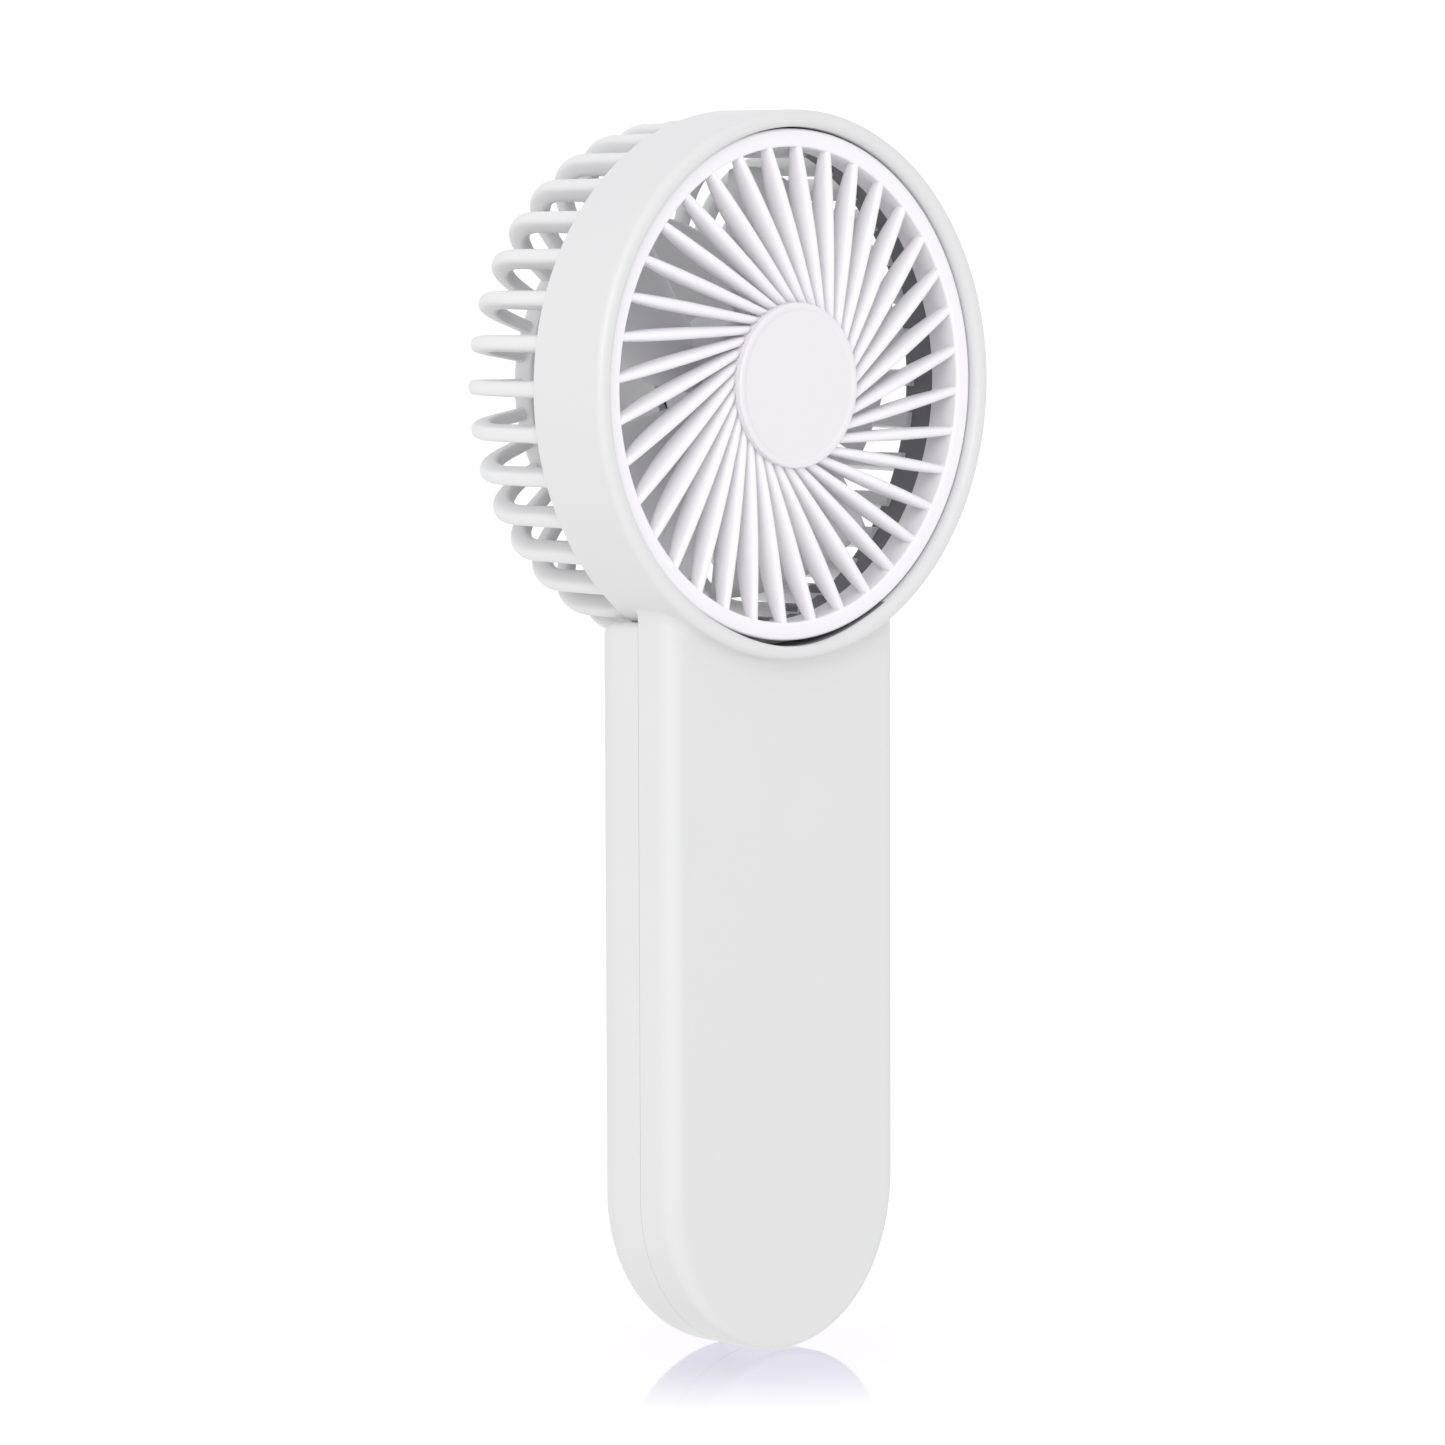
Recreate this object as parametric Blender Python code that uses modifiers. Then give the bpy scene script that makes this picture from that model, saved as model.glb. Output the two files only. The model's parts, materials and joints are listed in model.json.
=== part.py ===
"""Handheld electric fan: a round fan head moulded onto a flat, pill-shaped battery handle.

Metres, +Z up, the grille facing -Y. The origin is under the middle of the fan's depth, level with the
handle's lowest point, and the fan's axis runs along Y at the height HEAD_HEIGHT. Depths are measured
towards +Y from the front of the housing's lip. Angles on the head run clockwise from its left side, as
somebody facing the grille sees it.
"""

from math import acos, asin, cos, pi, radians, sin, sqrt

import bmesh
import bpy
from mathutils import Matrix, Vector

MM = 0.001

# Overall sizes
HEAD_RADIUS = 44.7 * MM
HEAD_DEPTH = 39.7 * MM
HEAD_HEIGHT = 159.0 * MM
HANDLE_WIDTH = 52.5 * MM
HANDLE_THICKNESS = 19.0 * MM
HANDLE_SETBACK = 3.7 * MM
BOTTOM_RISE = 27.0 * MM

# Fits and walls
GAP = 0.3 * MM
WALL = 1.8 * MM

# Front housing: the ring and its handle half
RING_DEPTH = 15.7 * MM
LIP_WIDTH = 2.8 * MM
LIP_ROUND = 1.1 * MM
GRILLE_SEAT_DEPTH = 8.0 * MM
SEAM_MARGIN = 1.1 * MM
FRONT_EDGE_ROUND = 3.0 * MM
BACK_EDGE_ROUND = 6.0 * MM
LEAST_ROUND = 0.2 * MM

# Front grille and its cap
GRILLE_SETBACK = 1.7 * MM
GRILLE_RIM_WIDTH = 2.95 * MM
RIM_ROUND = 0.3 * MM
LOUVRE_COUNT = 36
LOUVRE_WIDTH = 1.8 * MM
LOUVRE_DEPTH = 2.9 * MM
LOUVRE_SETBACK = 0.4 * MM
LOUVRE_ROOT_WIDTH = 1.3 * MM
LOUVRE_TIP_WIDTH = 1.5 * MM
LOUVRE_OFFSET = 9.3 * MM
LOUVRE_START = radians(2.75)
CAP_RADIUS = 13.5 * MM
CAP_SETBACK = 0.3 * MM
CAP_THICKNESS = 1.3 * MM
CAP_PEG_RADIUS = 2.5 * MM
BOSS_STEP = 0.4 * MM

# Rear cage
RIB_COUNT = 36
RIB_WIDTH = 2.4 * MM
RIB_THICKNESS = 3.3 * MM
CAGE_INSET = 1.5 * MM
CAGE_CORNER = 11.0 * MM
COLLAR_WALL = 2.1 * MM
HUB_RADIUS = 27.5 * MM
HUB_THICKNESS = 4.0 * MM
HUB_SETBACK = 0.3 * MM
COVER_RADIUS = 20.0 * MM
COVER_THICKNESS = 1.3 * MM
COVER_LEDGE = 1.8 * MM
WIRE_SPACE = 1.3 * MM
SOCKET_WALL = 1.7 * MM
SOCKET_LEDGE = 2.5 * MM
SOCKET_SETBACK = 2.4 * MM

# Motor
MOTOR_RADIUS = 8.0 * MM
MOTOR_LENGTH = 12.2 * MM
MOTOR_WALL = 0.7 * MM
NOSE_RADIUS = 3.2 * MM
NOSE_LENGTH = 1.2 * MM
SHAFT_RADIUS = 1.0 * MM
BUSH_WALL = 0.7 * MM
END_CAP_THICKNESS = 1.3 * MM
MAGNET_THICKNESS = 1.1 * MM
MAGNET_SPAN = radians(128)
CORE_LENGTH = 4.8 * MM
POLE_COUNT = 3
POLE_NECK = 1.8 * MM
COIL_WIRE = 0.8 * MM
COMMUTATOR_WALL = 1.0 * MM
COMMUTATOR_LENGTH = 2.2 * MM
TERMINAL_WIDTH = 1.6 * MM
TERMINAL_THICKNESS = 0.5 * MM
TERMINAL_INSET = 3.8 * MM

# Impeller
BLADE_COUNT = 5
BLADE_TIP_ROOM = 5.0 * MM
BLADE_THICKNESS = 1.2 * MM
BLADE_ROOT_SPAN = radians(60)
BLADE_TIP_SPAN = radians(50)
BLADE_SWEEP = radians(14)
BLADE_START = radians(-6)
BLADE_FRONT_SETBACK = 1.6 * MM
BLADE_REAR_SETBACK = 1.0 * MM
IMPELLER_SETBACK = 8.7 * MM
IMPELLER_DEPTH = 11.3 * MM
IMPELLER_HUB_ROOM = 0.5 * MM
IMPELLER_WALL = 1.3 * MM
IMPELLER_DOME = 2.0 * MM

# Battery, board and what is on them; drops are below the handle's top wall
BATTERY_SIDE_ROOM = 7.45 * MM
BATTERY_END_ROOM = 2.8 * MM
BATTERY_THICKNESS = 9.0 * MM
BATTERY_TOP_ROOM = 6.0 * MM
BATTERY_BOARD_LENGTH = 3.7 * MM
BATTERY_BOARD_INSET = 2.0 * MM
BATTERY_WIRE_PLACES = (-6.0 * MM, -9.0 * MM)
FOAM_THICKNESS = 1.5 * MM
BOARD_SIDE_ROOM = 4.45 * MM
BOARD_LENGTH = 22.0 * MM
BOARD_THICKNESS = 1.2 * MM
BOARD_TOP_ROOM = 7.2 * MM
BOARD_STANDOFF = 3.6 * MM
BUTTON_RADIUS = 5.5 * MM
BUTTON_PROUD = 0.8 * MM
BUTTON_TRAVEL = 0.4 * MM
BUTTON_FLANGE = 1.0 * MM
BUTTON_ON_BOARD = 11.0 * MM
SWITCH_WIDTH = 6.0 * MM
SWITCH_HEIGHT = 1.4 * MM
SWITCH_FLOOR = 0.25 * MM
PLUNGER_RADIUS = 1.5 * MM
PLUNGER_REST_GAP = 0.1 * MM
LED_COUNT = 4
LED_PITCH = 4.0 * MM
LED_SIZE = 1.6 * MM
LED_HEIGHT = 0.7 * MM
LIGHT_PIN_RADIUS = 0.8 * MM
LIGHT_BAR_THICKNESS = 1.0 * MM
LED_ON_BOARD = 20.4 * MM
PORT_WIDTH = 9.0 * MM
PORT_HEIGHT = 3.2 * MM
PORT_LENGTH = 7.4 * MM
PORT_WALL = 0.35 * MM
WIRE_RADIUS = 0.5 * MM
WIRE_BEND = 1.0 * MM
LANE_ROOM = 1.2 * MM
LANE_PITCH = 1.5 * MM

# Screws
SCREW_RADIUS = 0.9 * MM
SCREW_HEAD_RADIUS = 1.9 * MM
SCREW_HEAD_HEIGHT = 1.3 * MM
CASE_SCREW_TIP_ROOM = 2.4 * MM
BOARD_SCREW_LENGTH = 4.0 * MM
SCREW_SINK = 0.5 * MM
CASE_SCREW_TOP_INSET = 10.75 * MM
CASE_SCREW_TOP_ROOM = 3.2 * MM
CASE_SCREW_BOTTOM_INSET = 12.75 * MM
CASE_SCREW_BOTTOM_RISE = 17.0 * MM
BOARD_SCREW_INSET = 3.0 * MM
POST_RADIUS = 2.6 * MM
BOSS_RADIUS = 3.2 * MM
STANDOFF_RADIUS = 2.2 * MM

# What follows from those sizes
HANDLE_BACK = HANDLE_SETBACK + HANDLE_THICKNESS
FRONT_INSIDE = HANDLE_SETBACK + WALL
BACK_INSIDE = HANDLE_BACK - WALL
HOOD_RADIUS = HEAD_RADIUS + GAP
HOOD_INSIDE = HOOD_RADIUS + WALL
BOARD_REAR = BACK_INSIDE - BOARD_STANDOFF - GAP
BOARD_FRONT = BOARD_REAR - BOARD_THICKNESS
SEAM_DEPTH = BOARD_FRONT - GAP - PORT_HEIGHT - GAP - SEAM_MARGIN
COVER_FRONT = SEAM_DEPTH + GAP
GRILLE_RADIUS = HEAD_RADIUS - LIP_WIDTH - GAP
GRILLE_OPENING = GRILLE_RADIUS - GRILLE_RIM_WIDTH
GRILLE_REAR = GRILLE_SEAT_DEPTH - GAP
CAP_REAR = CAP_SETBACK + CAP_THICKNESS
LOUVRE_FRONT = GRILLE_SETBACK + LOUVRE_SETBACK
LOUVRE_REAR = LOUVRE_FRONT + LOUVRE_DEPTH
COLLAR_RADIUS = HEAD_RADIUS - WALL - GAP
COLLAR_BORE = COLLAR_RADIUS - COLLAR_WALL
COLLAR_FRONT = GRILLE_SEAT_DEPTH + GAP
CAGE_RADIUS = HEAD_RADIUS - CAGE_INSET
HUB_REAR = HEAD_DEPTH - HUB_SETBACK
HUB_FRONT = HUB_REAR - HUB_THICKNESS
COVER_SEAT = HEAD_DEPTH - COVER_THICKNESS - GAP
POCKET_FLOOR = COVER_SEAT - WIRE_SPACE
SOCKET_RADIUS = MOTOR_RADIUS + GAP
MOTOR_REAR = HUB_FRONT - GAP - END_CAP_THICKNESS
MOTOR_FRONT = MOTOR_REAR - MOTOR_LENGTH
SOCKET_FRONT = MOTOR_FRONT + SOCKET_SETBACK
MOTOR_BORE = MOTOR_RADIUS - MOTOR_WALL
NOSE_FRONT = MOTOR_FRONT - NOSE_LENGTH
SHAFT_BORE = SHAFT_RADIUS + GAP
BUSH_RADIUS = SHAFT_BORE + BUSH_WALL
BUSH_HOLE = BUSH_RADIUS + GAP
TERMINAL_OFFSET = MOTOR_RADIUS - TERMINAL_INSET
MAGNET_BORE = MOTOR_BORE - GAP - MAGNET_THICKNESS
CORE_RADIUS = MAGNET_BORE - GAP
CORE_FRONT = MOTOR_FRONT + MOTOR_WALL + GAP + COIL_WIRE + GAP
CORE_REAR = CORE_FRONT + CORE_LENGTH
COMMUTATOR_FRONT = CORE_REAR + GAP + COIL_WIRE + GAP
COMMUTATOR_RADIUS = SHAFT_BORE + COMMUTATOR_WALL
IMPELLER_REAR = IMPELLER_SETBACK + IMPELLER_DEPTH
IMPELLER_HUB_RADIUS = SOCKET_RADIUS + SOCKET_WALL + IMPELLER_HUB_ROOM + IMPELLER_WALL
BLADE_TIP_RADIUS = COLLAR_BORE - BLADE_TIP_ROOM
BOARD_WIDTH = HANDLE_WIDTH - 2 * (WALL + BOARD_SIDE_ROOM)
BOARD_DROP = HOOD_INSIDE + BOARD_TOP_ROOM
BUTTON_DROP = BOARD_DROP + BUTTON_ON_BOARD
LED_DROP = BOARD_DROP + LED_ON_BOARD
CASE_SCREW_BOTTOM_DROP = HEAD_HEIGHT - CASE_SCREW_BOTTOM_RISE
BATTERY_WIDTH = HANDLE_WIDTH - 2 * (WALL + BATTERY_SIDE_ROOM)
BATTERY_DROP = BOARD_DROP + BOARD_LENGTH + BATTERY_TOP_ROOM
BATTERY_LENGTH = CASE_SCREW_BOTTOM_DROP - BOSS_RADIUS - BATTERY_END_ROOM - BATTERY_DROP
BATTERY_FRONT = FRONT_INSIDE + GAP + FOAM_THICKNESS + GAP
BATTERY_REAR = BATTERY_FRONT + BATTERY_THICKNESS
FLANGE_FRONT = BACK_INSIDE - GAP - BUTTON_FLANGE
WIRE_LANES = [RIB_WIDTH / 2 + LANE_ROOM + n * LANE_PITCH for n in range(2)]
LANE_MIDDLE = sum(WIRE_LANES) / len(WIRE_LANES)
LANE_WIDTH = WIRE_LANES[-1] - WIRE_LANES[0] + 2 * (WIRE_RADIUS + GAP)
HOOD_WIRE_DEPTH = max((COVER_FRONT + HANDLE_BACK) / 2 + WIRE_RADIUS, RING_DEPTH + 2 * GAP + WIRE_RADIUS)
SOLDER_DEPTH = BOARD_FRONT - GAP - WIRE_RADIUS
HUB_SLOT_DROP = (SOCKET_RADIUS + SOCKET_WALL + COVER_RADIUS - COVER_LEDGE) / 2
SCREW_HOLE_RADIUS = SCREW_RADIUS + GAP
CASE_SCREW_HEAD = HANDLE_BACK - SCREW_SINK
CASE_SCREW_SEAT = CASE_SCREW_HEAD - SCREW_HEAD_HEIGHT
CASE_SCREW_TIP = FRONT_INSIDE + CASE_SCREW_TIP_ROOM
BOARD_SCREW_HEAD = BOARD_FRONT - GAP - SCREW_HEAD_HEIGHT
BOARD_SCREW_TIP = BOARD_FRONT - GAP + BOARD_SCREW_LENGTH
CASE_SCREW_PLACES = [
    (side * (HANDLE_WIDTH / 2 - inset), -drop)
    for inset, drop in (
        (CASE_SCREW_TOP_INSET, HOOD_INSIDE + CASE_SCREW_TOP_ROOM),
        (CASE_SCREW_BOTTOM_INSET, CASE_SCREW_BOTTOM_DROP),
    )
    for side in (-1, 1)
]
BOARD_SCREW_PLACES = [
    (side * (BOARD_WIDTH / 2 - BOARD_SCREW_INSET), -BOARD_DROP - end)
    for end in (BOARD_SCREW_INSET, BOARD_LENGTH - BOARD_SCREW_INSET)
    for side in (-1, 1)
]
LED_PLACES = [((n - (LED_COUNT - 1) / 2) * LED_PITCH, -LED_DROP) for n in range(LED_COUNT)]

# Fineness of the faceted shapes
RING_STEPS = 72
MEDIUM_STEPS = 32
SMALL_STEPS = 16
OVERCUT = 1.0 * MM
EMBED = 0.5 * MM

parts = None
cutters = None
materials = {}


# ---------------------------------------------------------------- helpers

def back(depth):
    """World Y of a depth behind the housing's lip."""
    return depth - HEAD_DEPTH / 2


def on_head(x, depth, rise):
    """World point from sideways place, depth behind the lip and height above the fan's axis."""
    return Vector((x, back(depth), HEAD_HEIGHT + rise))


def material(name, colour, roughness, metallic=0.0):
    """A Principled material, made once and shared by name."""
    if name not in materials:
        made = bpy.data.materials.new(name)
        made.use_nodes = True
        shader = made.node_tree.nodes["Principled BSDF"]
        shader.inputs["Base Color"].default_value = (*colour, 1.0)
        shader.inputs["Roughness"].default_value = roughness
        shader.inputs["Metallic"].default_value = metallic
        materials[name] = made
    return materials[name]


def housing_plastic():
    return material("housing_plastic", (0.83, 0.83, 0.82), 0.42)


def grille_plastic():
    return material("grille_plastic", (0.93, 0.92, 0.94), 0.35)


def impeller_plastic():
    return material("impeller_plastic", (0.80, 0.80, 0.80), 0.40)


def steel():
    return material("steel", (0.62, 0.62, 0.63), 0.30, 1.0)


def copper():
    return material("copper", (0.72, 0.38, 0.22), 0.35, 1.0)


def brass():
    return material("brass", (0.78, 0.62, 0.33), 0.32, 1.0)


def magnet_ferrite():
    return material("magnet_ferrite", (0.08, 0.08, 0.09), 0.55)


def black_plastic():
    return material("black_plastic", (0.04, 0.04, 0.045), 0.45)


def board_laminate():
    return material("board_laminate", (0.03, 0.19, 0.10), 0.40)


def battery_foil():
    return material("battery_foil", (0.66, 0.67, 0.69), 0.38)


def foam():
    return material("foam", (0.10, 0.10, 0.11), 0.90)


def clear_plastic():
    return material("clear_plastic", (0.90, 0.92, 0.93), 0.25)


def wire_cover(colour_name, colour):
    return material("wire_" + colour_name, colour, 0.50)


def link(name, mesh, group, finish=None):
    """A new object holding the mesh, in the collection asked for."""
    made = bpy.data.objects.new(name, mesh)
    group.objects.link(made)
    if finish is not None:
        mesh.materials.clear()
        mesh.materials.append(finish)
    if group is cutters:
        made.hide_render = True
        made.display_type = "WIRE"
    return made


def crisp(mesh):
    """Smooth shading with sharp corners."""
    mesh.shade_smooth()
    mesh.set_sharp_from_angle(angle=radians(32))
    return mesh


def frozen(obj):
    """The object's evaluated mesh, after which the object itself is removed."""
    bpy.context.view_layer.update()
    evaluated = obj.evaluated_get(bpy.context.evaluated_depsgraph_get())
    mesh = bpy.data.meshes.new_from_object(evaluated)
    bpy.data.objects.remove(obj)
    return mesh


def mesh_from(shape, name):
    """A mesh data-block from a bmesh, which is freed."""
    bmesh.ops.recalc_face_normals(shape, faces=shape.faces)
    mesh = bpy.data.meshes.new(name)
    shape.to_mesh(mesh)
    shape.free()
    return crisp(mesh)


def turned(name, profile, finish=None, group=None, steps=MEDIUM_STEPS, at=(0.0, 0.0), start=0.0, flip=False):
    """Turn (radius, depth) points about an axis along Y. The points run down the outer side, front to back.

    With flip, depths count forwards from start instead of backwards.
    """
    mesh = bpy.data.meshes.new(name)
    closed = min(profile[0][0], profile[-1][0]) > 0
    count = len(profile)
    edges = [(n, n + 1) for n in range(count - 1)]
    if closed:
        edges.append((count - 1, 0))
    mesh.from_pydata([(radius, 0.0, -depth) for radius, depth in profile], edges, [])
    blank = link(name, mesh, cutters)
    screw = blank.modifiers.new("turn", "SCREW")
    screw.steps = steps
    screw.render_steps = steps
    screw.use_merge_vertices = True
    screw.merge_threshold = 0.00001
    mesh = crisp(frozen(blank))
    made = link(name, mesh, group or parts, finish)
    made.rotation_euler.x = -pi / 2 if flip else pi / 2
    made.location = on_head(at[0], start, at[1])
    return made


def flat_mesh(outlines, thickness):
    """A flat outline, given in its own X and Y, with its holes, thickened equally along Z."""
    curve = bpy.data.curves.new("outline", "CURVE")
    curve.dimensions = "2D"
    curve.fill_mode = "BOTH"
    curve.extrude = thickness / 2
    for outline in outlines:
        spline = curve.splines.new("POLY")
        spline.points.add(len(outline) - 1)
        spline.use_cyclic_u = True
        for point, (x, y) in zip(spline.points, outline):
            point.co = (x, y, 0.0, 1.0)
    blank = bpy.data.objects.new("outline", curve)
    cutters.objects.link(blank)
    mesh = frozen(blank)
    bpy.data.curves.remove(curve)
    shape = bmesh.new()
    shape.from_mesh(mesh)
    bpy.data.meshes.remove(mesh)
    bmesh.ops.remove_doubles(shape, verts=shape.verts, dist=0.000001)
    return mesh_from(shape, "outline")


def copies(name, mesh, places, group, finish=None):
    """One object holding the mesh once for each matrix."""
    shape = bmesh.new()
    for place in places:
        first = len(shape.verts)
        shape.from_mesh(mesh)
        shape.verts.ensure_lookup_table()
        bmesh.ops.transform(shape, matrix=place, verts=shape.verts[first:])
    bpy.data.meshes.remove(mesh)
    return link(name, mesh_from(shape, name), group, finish)


def rods(name, radius, front, rear, places, group, finish=None, steps=SMALL_STEPS):
    """Cylinders along Y at (x, rise) places, in one object."""
    shape = bmesh.new()
    for x, rise in places:
        place = Matrix.Translation(on_head(x, (front + rear) / 2, rise)) @ Matrix.Rotation(pi / 2, 4, "X")
        bmesh.ops.create_cone(shape, cap_ends=True, segments=steps, radius1=radius, radius2=radius,
                              depth=rear - front, matrix=place)
    return link(name, mesh_from(shape, name), group, finish)


def box(name, x_range, depth_range, rise_range, group, finish=None, rounded=0.0):
    """A block between the given sideways, depth and height limits, its edges optionally rounded."""
    bpy.ops.mesh.primitive_cube_add(size=1.0)
    made = bpy.context.active_object
    made.name = name
    for owner in list(made.users_collection):
        owner.objects.unlink(made)
    low = Vector((x_range[0], back(depth_range[0]), rise_range[0]))
    high = Vector((x_range[1], back(depth_range[1]), rise_range[1]))
    middle = (low + high) / 2
    scale = Matrix.Diagonal((*(high - low), 1.0))
    made.data.transform(Matrix.Translation((0, 0, HEAD_HEIGHT)) @ Matrix.Translation(middle) @ scale)
    group.objects.link(made)
    if finish is not None:
        made.data.materials.append(finish)
    if group is cutters:
        made.hide_render = True
        made.display_type = "WIRE"
    if rounded:
        bevel = made.modifiers.new("rounded", "BEVEL")
        bevel.width = rounded
        bevel.segments = 2
    return made


def combine(target, tool, operation):
    """Join the tool to the target, or cut it away."""
    change = target.modifiers.new(operation.lower() + "_" + tool.name, "BOOLEAN")
    change.operation = operation
    change.solver = "EXACT"
    change.object = tool


def loft(name, sections, group, finish=None):
    """Skin a row of outlines that have the same number of (x, rise) points, given as (depth, outline)."""
    shape = bmesh.new()
    rings = []
    for depth, outline in sections:
        rings.append([shape.verts.new(on_head(x, depth, rise)) for x, rise in outline])
    for near, far in zip(rings, rings[1:]):
        for n, vertex in enumerate(near):
            after = (n + 1) % len(near)
            shape.faces.new((vertex, near[after], far[after], far[n]))
    shape.faces.new(rings[0])
    shape.faces.new(rings[-1])
    return link(name, mesh_from(shape, name), group, finish)


def clock(angle, radius):
    """(x, rise) of a place on the head, its angle clockwise from the left side."""
    return -radius * cos(angle), radius * sin(angle)


def arc(centre_x, centre_y, radius, start, end, steps):
    """Points on an arc, both ends included."""
    turns = [start + (end - start) * n / steps for n in range(steps + 1)]
    return [(centre_x + radius * cos(turn), centre_y + radius * sin(turn)) for turn in turns]


# ---------------------------------------------------------------- handle outline

def handle_outline(inset, top_radius, bottom_steps=20, top_steps=12):
    """The pill seen from the front: an arc about the fan's axis on top, straight sides, a round bottom."""
    half = HANDLE_WIDTH / 2 - inset
    middle = BOTTOM_RISE - HEAD_HEIGHT
    reach = BOTTOM_RISE - inset
    points = []
    for n in range(bottom_steps + 1):
        turn = pi + pi * n / bottom_steps
        points.append((half * cos(turn), middle + reach * sin(turn)))
    lean = asin(half / top_radius)
    for n in range(top_steps + 1):
        turn = lean - 2 * lean * n / top_steps
        points.append((top_radius * sin(turn), -top_radius * cos(turn)))
    return points


def rounded_sections(edge, straight_end, radius, inset, top_radius, steps):
    """Outlines from a rounded edge plane to the far end of the straight wall."""
    forwards = 1.0 if straight_end > edge else -1.0
    sections = []
    for n in range(steps + 1):
        turn = pi / 2 * n / steps
        depth = edge + forwards * radius * (1 - cos(turn))
        sections.append((depth, handle_outline(inset + radius * (1 - sin(turn)), top_radius)))
    sections.append((straight_end, handle_outline(inset, top_radius)))
    return sections


# ---------------------------------------------------------------- housing

def front_housing():
    lip = HEAD_RADIUS - LIP_WIDTH
    wall = HEAD_RADIUS - WALL
    housing = turned("front_housing", [
        (HEAD_RADIUS - LIP_WIDTH / 2, 0.0),
        (HEAD_RADIUS - 0.3 * LIP_ROUND, 0.3 * LIP_ROUND),
        (HEAD_RADIUS, LIP_ROUND),
        (HEAD_RADIUS, RING_DEPTH),
        (wall, RING_DEPTH),
        (wall, GRILLE_SEAT_DEPTH),
        (lip, GRILLE_SEAT_DEPTH),
        (lip, LIP_ROUND),
        (lip + 0.3 * LIP_ROUND, 0.3 * LIP_ROUND),
    ], housing_plastic(), steps=RING_STEPS)
    join = HEAD_RADIUS - WALL / 2
    combine(housing, loft("front_handle", rounded_sections(
        HANDLE_SETBACK, SEAM_DEPTH, FRONT_EDGE_ROUND, 0.0, join, 4), cutters), "UNION")
    combine(housing, loft("front_hollow", rounded_sections(
        FRONT_INSIDE, SEAM_DEPTH + OVERCUT, max(FRONT_EDGE_ROUND - WALL, LEAST_ROUND), WALL, HOOD_RADIUS, 2,
    ), cutters), "DIFFERENCE")
    combine(housing, rods("case_posts", POST_RADIUS, FRONT_INSIDE - EMBED, SEAM_DEPTH,
                          CASE_SCREW_PLACES, cutters), "UNION")
    combine(housing, rods("post_holes", SCREW_HOLE_RADIUS, CASE_SCREW_TIP - GAP, SEAM_DEPTH + OVERCUT,
                          CASE_SCREW_PLACES, cutters), "DIFFERENCE")


def back_cover():
    cover = loft("back_cover", rounded_sections(
        HANDLE_BACK, COVER_FRONT, BACK_EDGE_ROUND, 0.0, HOOD_RADIUS, 5), parts, housing_plastic())
    combine(cover, loft("back_hollow", rounded_sections(
        BACK_INSIDE, COVER_FRONT - OVERCUT, max(BACK_EDGE_ROUND - WALL, LEAST_ROUND), WALL, HOOD_INSIDE, 4,
    ), cutters), "DIFFERENCE")
    combine(cover, rods("case_bosses", BOSS_RADIUS, COVER_FRONT, BACK_INSIDE + EMBED,
                        CASE_SCREW_PLACES, cutters), "UNION")
    combine(cover, rods("board_standoffs", STANDOFF_RADIUS, BOARD_REAR + GAP, BACK_INSIDE + EMBED,
                        BOARD_SCREW_PLACES, cutters), "UNION")
    battery_rails(cover)
    seat = CASE_SCREW_SEAT - GAP
    combine(cover, rods("head_recesses", SCREW_HEAD_RADIUS + GAP, seat, HANDLE_BACK + OVERCUT,
                        CASE_SCREW_PLACES, cutters), "DIFFERENCE")
    combine(cover, rods("shank_holes", SCREW_HOLE_RADIUS, COVER_FRONT - OVERCUT, seat + EMBED,
                        CASE_SCREW_PLACES, cutters), "DIFFERENCE")
    combine(cover, rods("standoff_holes", SCREW_HOLE_RADIUS, BOARD_REAR - OVERCUT,
                        BOARD_SCREW_TIP + GAP, BOARD_SCREW_PLACES, cutters), "DIFFERENCE")
    combine(cover, rods("button_hole", BUTTON_RADIUS + GAP, BACK_INSIDE - OVERCUT, HANDLE_BACK + OVERCUT,
                        [(0.0, -BUTTON_DROP)], cutters, steps=MEDIUM_STEPS), "DIFFERENCE")
    combine(cover, rods("light_holes", LIGHT_PIN_RADIUS + GAP, BACK_INSIDE - OVERCUT, HANDLE_BACK + OVERCUT,
                        LED_PLACES, cutters), "DIFFERENCE")
    side = HANDLE_WIDTH / 2
    combine(cover, port_block("port_mouth", GAP, side - WALL - OVERCUT, side + OVERCUT), "DIFFERENCE")
    combine(cover, box("wire_slot", lane_range(),
                       (HOOD_WIRE_DEPTH - 3 * WIRE_RADIUS, HOOD_WIRE_DEPTH + 3 * WIRE_RADIUS),
                       (-HOOD_INSIDE - OVERCUT, -HOOD_RADIUS + OVERCUT * 2), cutters), "DIFFERENCE")


def battery_rails(cover):
    """Two upright rails inside the back wall that hold the cell forwards."""
    for side in (-1, 1):
        edge = side * BATTERY_WIDTH / 3
        rail = box("rail_%s" % ("left" if side < 0 else "right"), (edge - WALL / 2, edge + WALL / 2),
                   (BATTERY_REAR + GAP, BACK_INSIDE + EMBED),
                   (-BATTERY_DROP - BATTERY_LENGTH * 0.9, -BATTERY_DROP - BATTERY_LENGTH * 0.1), cutters)
        combine(cover, rail, "UNION")


def lane_range():
    return LANE_MIDDLE - LANE_WIDTH / 2, LANE_MIDDLE + LANE_WIDTH / 2


# ---------------------------------------------------------------- grille

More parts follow.
